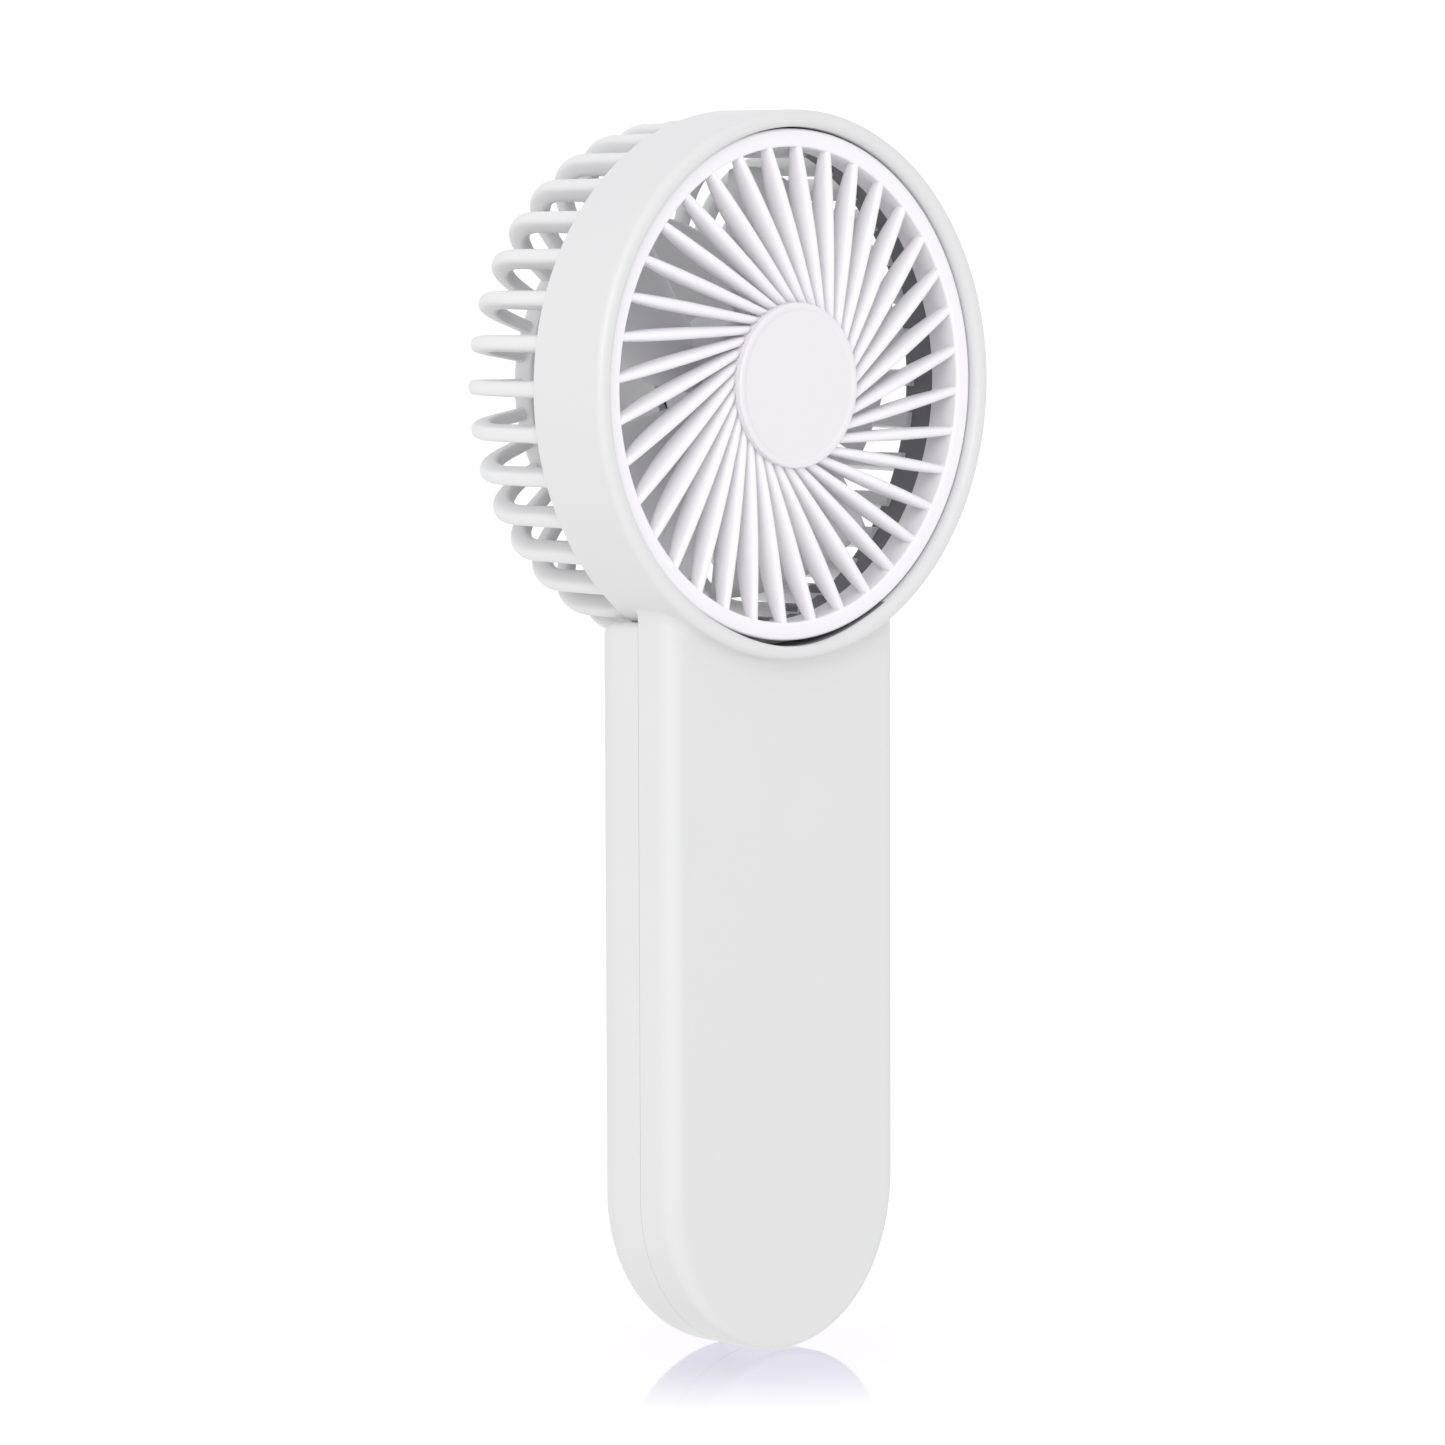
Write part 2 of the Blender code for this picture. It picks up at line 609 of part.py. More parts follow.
def louvre_outline():
    """One straight louvre seen from the front, passing the fan's axis at LOUVRE_OFFSET.

    Its own X runs out to where its middle line meets the rim, and its own Y runs clockwise.
    """
    lean = asin(LOUVRE_OFFSET / GRILLE_OPENING)
    along = Vector((cos(lean), -sin(lean)))
    across = Vector((sin(lean), cos(lean)))
    root = sqrt((CAP_RADIUS - 3 * BOSS_STEP) ** 2 - LOUVRE_OFFSET ** 2)
    tip = sqrt((GRILLE_OPENING + EMBED) ** 2 - LOUVRE_OFFSET ** 2)
    stations = ((root, LOUVRE_ROOT_WIDTH), ((root + tip) / 2, LOUVRE_WIDTH), (tip, LOUVRE_TIP_WIDTH))
    left = [across * (LOUVRE_OFFSET + width / 2) + along * reach for reach, width in stations]
    right = [across * (LOUVRE_OFFSET - width / 2) + along * reach for reach, width in stations]
    return [tuple(point) for point in left + right[::-1]]


def front_grille():
    middle = (LOUVRE_FRONT + LOUVRE_REAR) / 2
    upright = Matrix(((-1, 0, 0, 0), (0, 0, 1, 0), (0, 1, 0, 0), (0, 0, 0, 1)))
    places = [
        Matrix.Translation(on_head(0.0, middle, 0.0))
        @ Matrix.Rotation(LOUVRE_START + 2 * pi * n / LOUVRE_COUNT, 4, "Y") @ upright
        for n in range(LOUVRE_COUNT)
    ]
    grille = turned("front_grille", [
        (GRILLE_OPENING + RIM_ROUND, GRILLE_SETBACK),
        (GRILLE_RADIUS - RIM_ROUND, GRILLE_SETBACK),
        (GRILLE_RADIUS, GRILLE_SETBACK + RIM_ROUND),
        (GRILLE_RADIUS, GRILLE_REAR),
        (GRILLE_OPENING, GRILLE_REAR),
        (GRILLE_OPENING, GRILLE_SETBACK + RIM_ROUND),
    ], grille_plastic(), steps=RING_STEPS)
    combine(grille, copies("louvres", flat_mesh([louvre_outline()], LOUVRE_DEPTH), places, cutters), "UNION")
    hole = CAP_PEG_RADIUS + GAP
    combine(grille, turned("grille_boss", [
        (CAP_RADIUS - BOSS_STEP, CAP_REAR + GAP),
        (CAP_RADIUS - BOSS_STEP, LOUVRE_REAR + EMBED),
        (hole, LOUVRE_REAR + EMBED),
        (hole, CAP_REAR + GAP),
    ], group=cutters), "UNION")


def grille_cap():
    turned("grille_cap", [
        (0.0, CAP_SETBACK),
        (CAP_RADIUS - CAP_THICKNESS / 2, CAP_SETBACK),
        (CAP_RADIUS, CAP_SETBACK + CAP_THICKNESS / 2),
        (CAP_RADIUS, CAP_REAR),
        (CAP_PEG_RADIUS, CAP_REAR),
        (CAP_PEG_RADIUS, LOUVRE_REAR),
        (0.0, LOUVRE_REAR),
    ], grille_plastic())


# ---------------------------------------------------------------- rear cage

def rib_outline():
    """One cage rib in (radius, depth): straight back from the collar, round the corner and in to the hub."""
    corner_depth = HEAD_DEPTH - CAGE_CORNER
    corner_radius = CAGE_RADIUS - CAGE_CORNER
    step = RING_DEPTH + GAP
    inner = CAGE_RADIUS - RIB_THICKNESS
    outer = [(COLLAR_RADIUS - EMBED, step - COLLAR_WALL), (COLLAR_RADIUS - EMBED, step), (CAGE_RADIUS, step)]
    outer += arc(corner_radius, corner_depth, CAGE_CORNER, 0.0, pi / 2, 4)
    outer.append((HUB_RADIUS - EMBED, HEAD_DEPTH - GAP))
    back_edge = [(HUB_RADIUS - EMBED, HEAD_DEPTH - RIB_THICKNESS)]
    back_edge += arc(corner_radius, corner_depth, CAGE_CORNER - RIB_THICKNESS, pi / 2, 0.0, 4)
    back_edge += [(inner, step + OVERCUT), (COLLAR_BORE + EMBED, step - EMBED),
                  (COLLAR_BORE + EMBED, step - COLLAR_WALL)]
    return outer + back_edge


def rear_cage():
    hub_hole = MOTOR_RADIUS - SOCKET_LEDGE
    cage = turned("rear_cage", [
        (COLLAR_RADIUS, COLLAR_FRONT),
        (COLLAR_RADIUS, RING_DEPTH),
        (COLLAR_BORE, RING_DEPTH),
        (COLLAR_BORE, COLLAR_FRONT),
    ], housing_plastic(), steps=RING_STEPS)
    places = []
    for n in range(RIB_COUNT):
        x, rise = clock(2 * pi * n / RIB_COUNT, 1.0)
        outwards = Vector((x, 0.0, rise))
        backwards = Vector((0.0, 1.0, 0.0))
        sideways = outwards.cross(backwards)
        turn = Matrix((outwards, backwards, sideways)).transposed().to_4x4()
        places.append(Matrix.Translation(on_head(0.0, 0.0, 0.0)) @ turn)
    combine(cage, copies("ribs", flat_mesh([rib_outline()], RIB_WIDTH), places, cutters), "UNION")
    combine(cage, turned("hub", [
        (SOCKET_RADIUS + SOCKET_WALL, SOCKET_FRONT),
        (SOCKET_RADIUS + SOCKET_WALL, HUB_FRONT),
        (HUB_RADIUS, HUB_FRONT),
        (HUB_RADIUS, HUB_REAR),
        (COVER_RADIUS + GAP, HUB_REAR),
        (COVER_RADIUS + GAP, COVER_SEAT),
        (COVER_RADIUS - COVER_LEDGE, COVER_SEAT),
        (COVER_RADIUS - COVER_LEDGE, POCKET_FLOOR),
        (hub_hole, POCKET_FLOOR),
        (hub_hole, HUB_FRONT),
        (SOCKET_RADIUS, HUB_FRONT),
        (SOCKET_RADIUS, SOCKET_FRONT),
    ], group=cutters), "UNION")
    combine(cage, box("hub_slot", lane_range(), (HUB_FRONT - OVERCUT, POCKET_FLOOR + EMBED / 2),
                      (-HUB_SLOT_DROP - 4 * WIRE_RADIUS, -HUB_SLOT_DROP + 4 * WIRE_RADIUS), cutters),
            "DIFFERENCE")


def rear_hub_cover():
    turned("rear_hub_cover", [
        (0.0, HEAD_DEPTH - COVER_THICKNESS),
        (COVER_RADIUS, HEAD_DEPTH - COVER_THICKNESS),
        (COVER_RADIUS, HEAD_DEPTH - COVER_THICKNESS / 3),
        (COVER_RADIUS - COVER_THICKNESS / 3, HEAD_DEPTH),
        (0.0, HEAD_DEPTH),
    ], housing_plastic())


# ---------------------------------------------------------------- motor

def motor_can():
    hole = BUSH_HOLE
    turned("motor_can", [
        (NOSE_RADIUS, NOSE_FRONT),
        (NOSE_RADIUS, MOTOR_FRONT),
        (MOTOR_RADIUS, MOTOR_FRONT),
        (MOTOR_RADIUS, MOTOR_REAR),
        (MOTOR_BORE, MOTOR_REAR),
        (MOTOR_BORE, MOTOR_FRONT + MOTOR_WALL),
        (hole, MOTOR_FRONT + MOTOR_WALL),
        (hole, NOSE_FRONT),
    ], steel(), steps=32)


def bush(name, front, rear):
    turned(name, [
        (BUSH_RADIUS, front),
        (BUSH_RADIUS, rear),
        (SHAFT_BORE, rear),
        (SHAFT_BORE, front),
    ], brass(), steps=SMALL_STEPS)


def motor_end_cap():
    front = MOTOR_REAR + GAP
    rear = front + END_CAP_THICKNESS - GAP
    spigot = MOTOR_BORE - GAP
    cap = turned("motor_end_cap", [
        (spigot, MOTOR_REAR - END_CAP_THICKNESS),
        (spigot, front),
        (MOTOR_RADIUS, front),
        (MOTOR_RADIUS, rear),
        (BUSH_HOLE, rear),
        (BUSH_HOLE, MOTOR_REAR - END_CAP_THICKNESS),
    ], black_plastic(), steps=32)
    for side in (-1, 1):
        slot = terminal_box("terminal_slot_%d" % (side + 2), side, GAP,
                            (MOTOR_REAR - END_CAP_THICKNESS - OVERCUT, rear + OVERCUT), cutters)
        combine(cap, slot, "DIFFERENCE")


def terminal_box(name, side, clearance, depth_range, group, finish=None):
    middle = side * TERMINAL_OFFSET
    half = TERMINAL_THICKNESS / 2 + clearance
    reach = TERMINAL_WIDTH / 2 + clearance
    return box(name, (middle - half, middle + half), depth_range, (-reach, reach), group, finish)


def brushes():
    """A terminal tab on each side, with an arm inside that reaches in to the commutator."""
    arm_front = COMMUTATOR_FRONT + COMMUTATOR_LENGTH / 3
    for side, word in ((-1, "left"), (1, "right")):
        tab = terminal_box("brush_" + word, side, 0.0, (arm_front, POCKET_FLOOR - GAP), parts, copper())
        inner = side * (COMMUTATOR_RADIUS + GAP)
        outer = side * (TERMINAL_OFFSET + TERMINAL_THICKNESS / 4)
        arm = box("brush_arm_" + word, (min(inner, outer), max(inner, outer)),
                  (arm_front - EMBED / 2, arm_front + EMBED), (-TERMINAL_WIDTH / 3, TERMINAL_WIDTH / 3),
                  cutters)
        combine(tab, arm, "UNION")


def magnets():
    for middle, word in ((pi, "left"), (0.0, "right")):
        outer = arc(0.0, 0.0, MOTOR_BORE - GAP, middle - MAGNET_SPAN / 2, middle + MAGNET_SPAN / 2, 10)
        inner = arc(0.0, 0.0, MAGNET_BORE, middle + MAGNET_SPAN / 2, middle - MAGNET_SPAN / 2, 10)
        plate = flat_mesh([outer + inner], CORE_LENGTH + 2 * COIL_WIRE)
        centre = on_head(0.0, (CORE_FRONT + CORE_REAR) / 2, 0.0)
        place = Matrix.Translation(centre) @ Matrix.Rotation(pi / 2, 4, "X")
        copies("magnet_" + word, plate, [place], parts, magnet_ferrite())


def pole_angle(n):
    return pi / 2 + 2 * pi * n / POLE_COUNT


def armature_core():
    """Steel star: a hub, and poles that widen to a shoe along the magnets' bore."""
    shoe = CORE_RADIUS - COIL_WIRE
    half_shoe = acos(shoe / CORE_RADIUS) * 0.92
    neck = POLE_NECK / 2
    root = SHAFT_BORE + COMMUTATOR_WALL
    outline = []
    for n in range(POLE_COUNT):
        turn = pole_angle(n)
        along = Vector((cos(turn), sin(turn)))
        across = Vector((-along.y, along.x))
        edge = CORE_RADIUS * sin(half_shoe)
        outline.append(along * root - across * neck)
        outline.append(along * shoe - across * neck)
        outline.append(along * shoe - across * edge)
        outline += [Vector(p) for p in arc(0.0, 0.0, CORE_RADIUS, turn - half_shoe, turn + half_shoe, 4)]
        outline.append(along * shoe + across * edge)
        outline.append(along * shoe + across * neck)
        outline.append(along * root + across * neck)
    bore = arc(0.0, 0.0, SHAFT_BORE, 0.0, 2 * pi, SMALL_STEPS)[:-1]
    plate = flat_mesh([[tuple(p) for p in outline], bore], CORE_LENGTH)
    moved_to_axis("armature_core", plate, (CORE_FRONT + CORE_REAR) / 2, steel())


def moved_to_axis(name, mesh, depth, finish):
    """An object on the fan's axis whose mesh was drawn flat, in its own X and Y."""
    made = link(name, mesh, parts, finish)
    made.rotation_euler.x = pi / 2
    made.location = on_head(0.0, depth, 0.0)
    return made


def armature_coils():
    """A rectangular winding round each pole's neck."""
    shoe = CORE_RADIUS - COIL_WIRE
    root = SHAFT_BORE + COMMUTATOR_WALL
    middle = (CORE_FRONT + CORE_REAR) / 2
    inner = (POLE_NECK / 2 + GAP, CORE_LENGTH / 2 + GAP)
    outer = (inner[0] + COIL_WIRE, inner[1] + COIL_WIRE)
    for n in range(POLE_COUNT):
        corners = ((-1, -1), (1, -1), (1, 1), (-1, 1))
        frame = [[(sx * w, sy * h) for sx, sy in corners] for w, h in (outer, inner)]
        low = max(root + GAP, (inner[0] + COIL_WIRE) / sin(pi / POLE_COUNT) * 0.5 + GAP)
        high = shoe - GAP
        plate = flat_mesh(frame, high - low)
        turn = pole_angle(n)
        outwards = Vector((cos(turn), 0.0, sin(turn)))
        backwards = Vector((0.0, 1.0, 0.0))
        sideways = backwards.cross(outwards)
        place = Matrix((sideways, backwards, outwards)).transposed().to_4x4()
        plate.transform(place @ Matrix.Translation((0.0, 0.0, (low + high) / 2)))
        coil = link("armature_coil_%d" % (n + 1), plate, parts, copper())
        coil.location = on_head(0.0, middle, 0.0)


def commutator():
    turned("commutator", [
        (COMMUTATOR_RADIUS, COMMUTATOR_FRONT),
        (COMMUTATOR_RADIUS, COMMUTATOR_FRONT + COMMUTATOR_LENGTH),
        (SHAFT_BORE, COMMUTATOR_FRONT + COMMUTATOR_LENGTH),
        (SHAFT_BORE, COMMUTATOR_FRONT),
    ], copper(), steps=SMALL_STEPS)


def motor_shaft():
    front = IMPELLER_SETBACK + 2 * IMPELLER_WALL + GAP
    rear = HUB_FRONT + GAP
    turned("motor_shaft", [(0.0, front), (SHAFT_RADIUS, front), (SHAFT_RADIUS, rear), (0.0, rear)],
           steel(), steps=SMALL_STEPS)


# ---------------------------------------------------------------- impeller

def blade_sheet(mesh_name):
    """All the blades as thin curved sheets, each from the hub's wall to the tip circle."""
    shape = bmesh.new()
    root = IMPELLER_HUB_RADIUS - IMPELLER_WALL / 2
    front = IMPELLER_SETBACK + BLADE_FRONT_SETBACK
    rear = IMPELLER_REAR - BLADE_REAR_SETBACK
    across, along = 6, 5
    for n in range(BLADE_COUNT):
        grid = []
        for i in range(along + 1):
            share = i / along
            radius = root + (BLADE_TIP_RADIUS - root) * share
            span = BLADE_ROOT_SPAN + (BLADE_TIP_SPAN - BLADE_ROOT_SPAN) * share
            start = BLADE_START + 2 * pi * n / BLADE_COUNT + BLADE_SWEEP * share
            row = []
            for j in range(across + 1):
                x, rise = clock(start + span * j / across, radius)
                row.append(shape.verts.new(on_head(x, front + (rear - front) * j / across, rise)))
            grid.append(row)
        for low, high in zip(grid, grid[1:]):
            for j in range(across):
                shape.faces.new((low[j], low[j + 1], high[j + 1], high[j]))
    return mesh_from(shape, mesh_name)


def impeller():
    depth = IMPELLER_SETBACK
    inside = depth + 2 * IMPELLER_WALL
    boss = SHAFT_BORE + 2 * IMPELLER_WALL - MOTOR_WALL
    boss_rear = NOSE_FRONT - 4 * GAP
    fan = turned("impeller", [
        (0.0, depth),
        (0.6 * IMPELLER_HUB_RADIUS, depth + 0.1 * IMPELLER_DOME),
        (0.9 * IMPELLER_HUB_RADIUS, depth + 0.4 * IMPELLER_DOME),
        (IMPELLER_HUB_RADIUS, depth + IMPELLER_DOME),
        (IMPELLER_HUB_RADIUS, IMPELLER_REAR),
        (IMPELLER_HUB_RADIUS - IMPELLER_WALL, IMPELLER_REAR),
        (IMPELLER_HUB_RADIUS - IMPELLER_WALL, inside),
        (boss, inside),
        (boss, boss_rear),
        (SHAFT_BORE, boss_rear),
        (SHAFT_BORE, inside),
        (0.0, inside),
    ], impeller_plastic())
    blades = link("blades", blade_sheet("blades"), cutters)
    thicken = blades.modifiers.new("thickness", "SOLIDIFY")
    thicken.thickness = BLADE_THICKNESS
    thicken.offset = 0.0
    combine(fan, blades, "UNION")


# ---------------------------------------------------------------- handle contents

def battery():
    half = BATTERY_WIDTH / 2
    top = -BATTERY_DROP
    box("battery_pouch", (-half, half), (BATTERY_FRONT, BATTERY_REAR), (top - BATTERY_LENGTH, top), parts,
        battery_foil(), rounded=BATTERY_THICKNESS / 6)
    reach = half - BATTERY_BOARD_INSET
    front = SOLDER_DEPTH - BOARD_THICKNESS / 2
    box("battery_board", (-reach, reach), (front, front + BOARD_THICKNESS),
        (top + GAP, top + GAP + BATTERY_BOARD_LENGTH), parts, board_laminate())
    box("battery_foam", (-half, half), (FRONT_INSIDE + GAP, FRONT_INSIDE + GAP + FOAM_THICKNESS),
        (top - BATTERY_LENGTH + WALL, top - WALL), parts, foam())


def circuit_board():
    board = box("circuit_board", (-BOARD_WIDTH / 2, BOARD_WIDTH / 2), (BOARD_FRONT, BOARD_REAR),
                (-BOARD_DROP - BOARD_LENGTH, -BOARD_DROP), parts, board_laminate())
    combine(board, rods("board_holes", SCREW_HOLE_RADIUS, BOARD_FRONT - OVERCUT, BOARD_REAR + OVERCUT,
                        BOARD_SCREW_PLACES, cutters), "DIFFERENCE")


def switch():
    half = SWITCH_WIDTH / 2
    front = BOARD_REAR + GAP
    rear = front + SWITCH_HEIGHT
    body = box("switch_body", (-half, half), (front, rear), (-BUTTON_DROP - half, -BUTTON_DROP + half),
               parts, black_plastic())
    combine(body, rods("switch_well", PLUNGER_RADIUS + GAP, front + SWITCH_FLOOR, rear + OVERCUT,
                       [(0.0, -BUTTON_DROP)], cutters), "DIFFERENCE")
    plunger_front = front + SWITCH_FLOOR + BUTTON_TRAVEL + PLUNGER_REST_GAP
    length = FLANGE_FRONT - GAP - plunger_front
    turned("switch_plunger", [(0.0, 0.0), (PLUNGER_RADIUS, 0.0), (PLUNGER_RADIUS, length), (0.0, length)],
           black_plastic(), steps=SMALL_STEPS, at=(0.0, -BUTTON_DROP), start=plunger_front)


def power_button():
    """A round key with a flange behind the back wall, pressed forwards."""
    flange = BUTTON_RADIUS + 3 * GAP
    top = HANDLE_BACK + BUTTON_PROUD - FLANGE_FRONT
    turned("power_button", [
        (0.0, 0.0),
        (flange, 0.0),
        (flange, BUTTON_FLANGE),
        (BUTTON_RADIUS, BUTTON_FLANGE),
        (BUTTON_RADIUS, top - BUTTON_PROUD / 2),
        (BUTTON_RADIUS - BUTTON_PROUD / 2, top),
        (0.0, top),
    ], housing_plastic(), steps=MEDIUM_STEPS, at=(0.0, -BUTTON_DROP), start=FLANGE_FRONT)


def lights():
    half = LED_SIZE / 2
    front = BOARD_REAR + GAP
    for n, (x, rise) in enumerate(LED_PLACES):
        box("led_%d" % (n + 1), (x - half, x + half), (front, front + LED_HEIGHT),
            (rise - half / 2, rise + half / 2), parts, clear_plastic())
    bar_front = front + LED_HEIGHT + GAP
    reach = LED_PLACES[-1][0] + LED_SIZE
    guide = box("light_guide", (-reach, reach), (bar_front, bar_front + LIGHT_BAR_THICKNESS),
                (-LED_DROP - half, -LED_DROP + half), parts, clear_plastic())
    pin_front = bar_front + LIGHT_BAR_THICKNESS / 2
    combine(guide, rods("light_pins", LIGHT_PIN_RADIUS, pin_front, HANDLE_BACK - GAP / 2, LED_PLACES, cutters,
                        steps=12), "UNION")


def port_block(name, clearance, x_low, x_high, group=None, finish=None):
    """A pill-shaped block along X at the charging port: the port itself, or the room round it."""
    radius = PORT_HEIGHT / 2 + clearance
    straight = (PORT_WIDTH - PORT_HEIGHT) / 2
    outline = arc(straight, 0.0, radius, -pi / 2, pi / 2, 6)
    outline += arc(-straight, 0.0, radius, pi / 2, 3 * pi / 2, 6)
    middle = BOARD_FRONT - GAP - PORT_HEIGHT / 2
    turn = Matrix(((0, 0, 1, 0), (0, -1, 0, 0), (1, 0, 0, 0), (0, 0, 0, 1)))
    place = Matrix.Translation(on_head((x_low + x_high) / 2, middle, port_rise())) @ turn
    return copies(name, flat_mesh([outline], x_high - x_low), [place], group or cutters, finish)


def port_rise():
    return -BOARD_DROP - BOARD_LENGTH / 2


def charging_port():
    mouth = HANDLE_WIDTH / 2 - WALL / 3
    shell = port_block("usb_shell", 0.0, mouth - PORT_LENGTH, mouth, parts, steel())
    rear = mouth - PORT_LENGTH + WALL / 2
    combine(shell, port_block("usb_hollow", -PORT_WALL, rear, mouth + OVERCUT), "DIFFERENCE")
    middle = BOARD_FRONT - GAP - PORT_HEIGHT / 2
    tongue = PORT_WIDTH / 3
    box("usb_tongue", (rear + GAP, mouth - WALL / 2), (middle - GAP, middle + GAP),
        (port_rise() - tongue, port_rise() + tongue), parts, black_plastic())


def screw(name, place, head_depth, length, flip):
    """A pan-head screw: its head top at head_depth, its shank pointing forwards (flip) or back."""
    tip = SCREW_HEAD_HEIGHT + length
    turned(name, [
        (0.0, 0.0),
        (SCREW_HEAD_RADIUS * 0.8, 0.0),
        (SCREW_HEAD_RADIUS, SCREW_HEAD_HEIGHT * 0.35),
        (SCREW_HEAD_RADIUS, SCREW_HEAD_HEIGHT),
        (SCREW_RADIUS, SCREW_HEAD_HEIGHT),
        (SCREW_RADIUS, tip - SCREW_RADIUS),
        (0.0, tip),
    ], steel(), steps=12, at=place, start=head_depth, flip=flip)


def screws():
    for n, place in enumerate(CASE_SCREW_PLACES):
        screw("case_screw_%d" % (n + 1), place, CASE_SCREW_HEAD, CASE_SCREW_SEAT - CASE_SCREW_TIP, True)
    for n, place in enumerate(BOARD_SCREW_PLACES):
        screw("board_screw_%d" % (n + 1), place, BOARD_SCREW_HEAD, BOARD_SCREW_LENGTH, False)


def wire(name, route, finish):
    """A round insulated wire through (x, depth, rise) points."""
    curve = bpy.data.curves.new(name, "CURVE")
    curve.dimensions = "3D"
    curve.bevel_depth = WIRE_RADIUS
    curve.bevel_resolution = 1
    curve.use_fill_caps = True
    spline = curve.splines.new("POLY")
    spline.points.add(len(route) - 1)
    for point, (x, depth, rise) in zip(spline.points, route):
        point.co = (*on_head(x, depth, rise), 1.0)
    made = bpy.data.objects.new(name, curve)
    parts.objects.link(made)
    curve.materials.append(finish)


def wires():
    red = wire_cover("red", (0.55, 0.03, 0.03))
    black = wire_cover("black", (0.02, 0.02, 0.02))
    pocket = POCKET_FLOOR + GAP / 2 + WIRE_RADIUS
    slot = HUB_SLOT_DROP
    run = HUB_FRONT - 3 * WIRE_RADIUS
    corner = CAGE_RADIUS - RIB_THICKNESS
    ends = ((red, "red", WIRE_LANES[0], -TERMINAL_OFFSET), (black, "black", WIRE_LANES[1], TERMINAL_OFFSET))
    for finish, word, lane, tab in ends:
        wire("motor_wire_" + word, [
            (tab, pocket, TERMINAL_WIDTH / 2),
            (tab, pocket, -TERMINAL_WIDTH),
            ((2 * tab + lane) / 3, pocket, -slot * 0.42),
            (lane, pocket, -slot * 0.75),
            (lane, pocket, -slot + WIRE_BEND),
            (lane, (pocket + run) / 2, -slot - 0.2 * WIRE_BEND),
            (lane, run, -slot - 1.2 * WIRE_BEND),
            (lane, run, -HUB_RADIUS),
            (lane, run - 1.5 * WIRE_BEND, -HUB_RADIUS - 4.0 * WIRE_BEND),
            (lane, run - 5.5 * WIRE_BEND, -corner + 2.4 * WIRE_BEND),
            (lane, HOOD_WIRE_DEPTH + 3.5 * WIRE_BEND, -corner + 0.4 * WIRE_BEND),
            (lane, HOOD_WIRE_DEPTH + 0.8 * WIRE_BEND, -CAGE_RADIUS + 0.8 * WIRE_BEND),
            (lane, HOOD_WIRE_DEPTH, -HOOD_RADIUS),
            (lane, HOOD_WIRE_DEPTH - 0.3 * WIRE_BEND, -HOOD_RADIUS - 3.0 * WIRE_BEND),
            (lane, SOLDER_DEPTH, -BOARD_DROP + 1.6 * WIRE_BEND),
            (lane, SOLDER_DEPTH, -BOARD_DROP - 2.0 * WIRE_BEND),
        ], finish)
    start = -BATTERY_DROP + 2 * GAP + BATTERY_BOARD_LENGTH
    reach = start + BATTERY_TOP_ROOM
    for finish, word, x in ((red, "red", BATTERY_WIRE_PLACES[0]), (black, "black", BATTERY_WIRE_PLACES[1])):
        wire("battery_wire_" + word, [(x, SOLDER_DEPTH, start), (x, SOLDER_DEPTH, reach)], finish)


# ---------------------------------------------------------------- build

def main():
    global parts, cutters
    for old in list(bpy.data.objects):
        bpy.data.objects.remove(old)
    parts = bpy.data.collections.new("handheld_fan")
    cutters = bpy.data.collections.new("cutters")
    bpy.context.scene.collection.children.link(parts)
    bpy.context.scene.collection.children.link(cutters)
    front_housing()
    back_cover()
    front_grille()
    grille_cap()
    rear_cage()
    rear_hub_cover()
    motor_can()
    bush("motor_front_bush", NOSE_FRONT + GAP, MOTOR_FRONT + MOTOR_WALL)
    bush("motor_rear_bush", MOTOR_REAR - END_CAP_THICKNESS, MOTOR_REAR + END_CAP_THICKNESS - GAP)
    motor_end_cap()
    brushes()
    magnets()
    motor_shaft()
    armature_core()
    armature_coils()
    commutator()
    impeller()
    battery()
    circuit_board()
    switch()
    power_button()
    lights()
    charging_port()
    screws()
    wires()


main()
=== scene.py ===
"""Fine surfaces, finishes, light and camera for a handheld fan with a pill-shaped handle.

Metres, +Z up, the grille facing -Y. Depths are measured towards +Y from the crest of the
housing's lip, and rises are measured up from the fan's axis. Pieces that repeat round the axis
are drawn on its left side, and their copies follow clockwise as seen from the front.
"""

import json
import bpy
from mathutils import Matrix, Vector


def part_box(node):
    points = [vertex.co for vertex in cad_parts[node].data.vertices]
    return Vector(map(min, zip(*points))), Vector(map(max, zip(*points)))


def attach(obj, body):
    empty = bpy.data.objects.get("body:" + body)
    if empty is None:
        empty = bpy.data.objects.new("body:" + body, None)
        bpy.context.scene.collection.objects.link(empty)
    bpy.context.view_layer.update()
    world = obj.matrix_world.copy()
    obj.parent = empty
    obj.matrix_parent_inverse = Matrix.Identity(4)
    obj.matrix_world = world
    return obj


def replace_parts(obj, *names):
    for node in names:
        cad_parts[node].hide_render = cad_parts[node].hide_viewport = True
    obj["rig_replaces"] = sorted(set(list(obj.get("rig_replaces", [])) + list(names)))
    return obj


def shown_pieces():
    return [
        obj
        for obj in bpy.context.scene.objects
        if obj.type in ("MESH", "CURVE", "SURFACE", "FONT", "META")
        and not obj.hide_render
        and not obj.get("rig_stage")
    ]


bl_info = {
    "name": "Handheld Fan Looks",
    "version": (1, 0, 0),
    "blender": (4, 5, 0),
    "location": "View3D > Sidebar > Handheld Fan",
    "description": "Builds the fan's fine surfaces, moulded finishes, studio light and camera",
    "category": "Object",
}

from math import acos, asin, atan2, copysign, cos, pi, radians, sin, sqrt, tan

import bmesh
import bpy
from bpy.props import FloatProperty, FloatVectorProperty, IntProperty, PointerProperty
from mathutils import Euler, Matrix, Vector

MM = 0.001

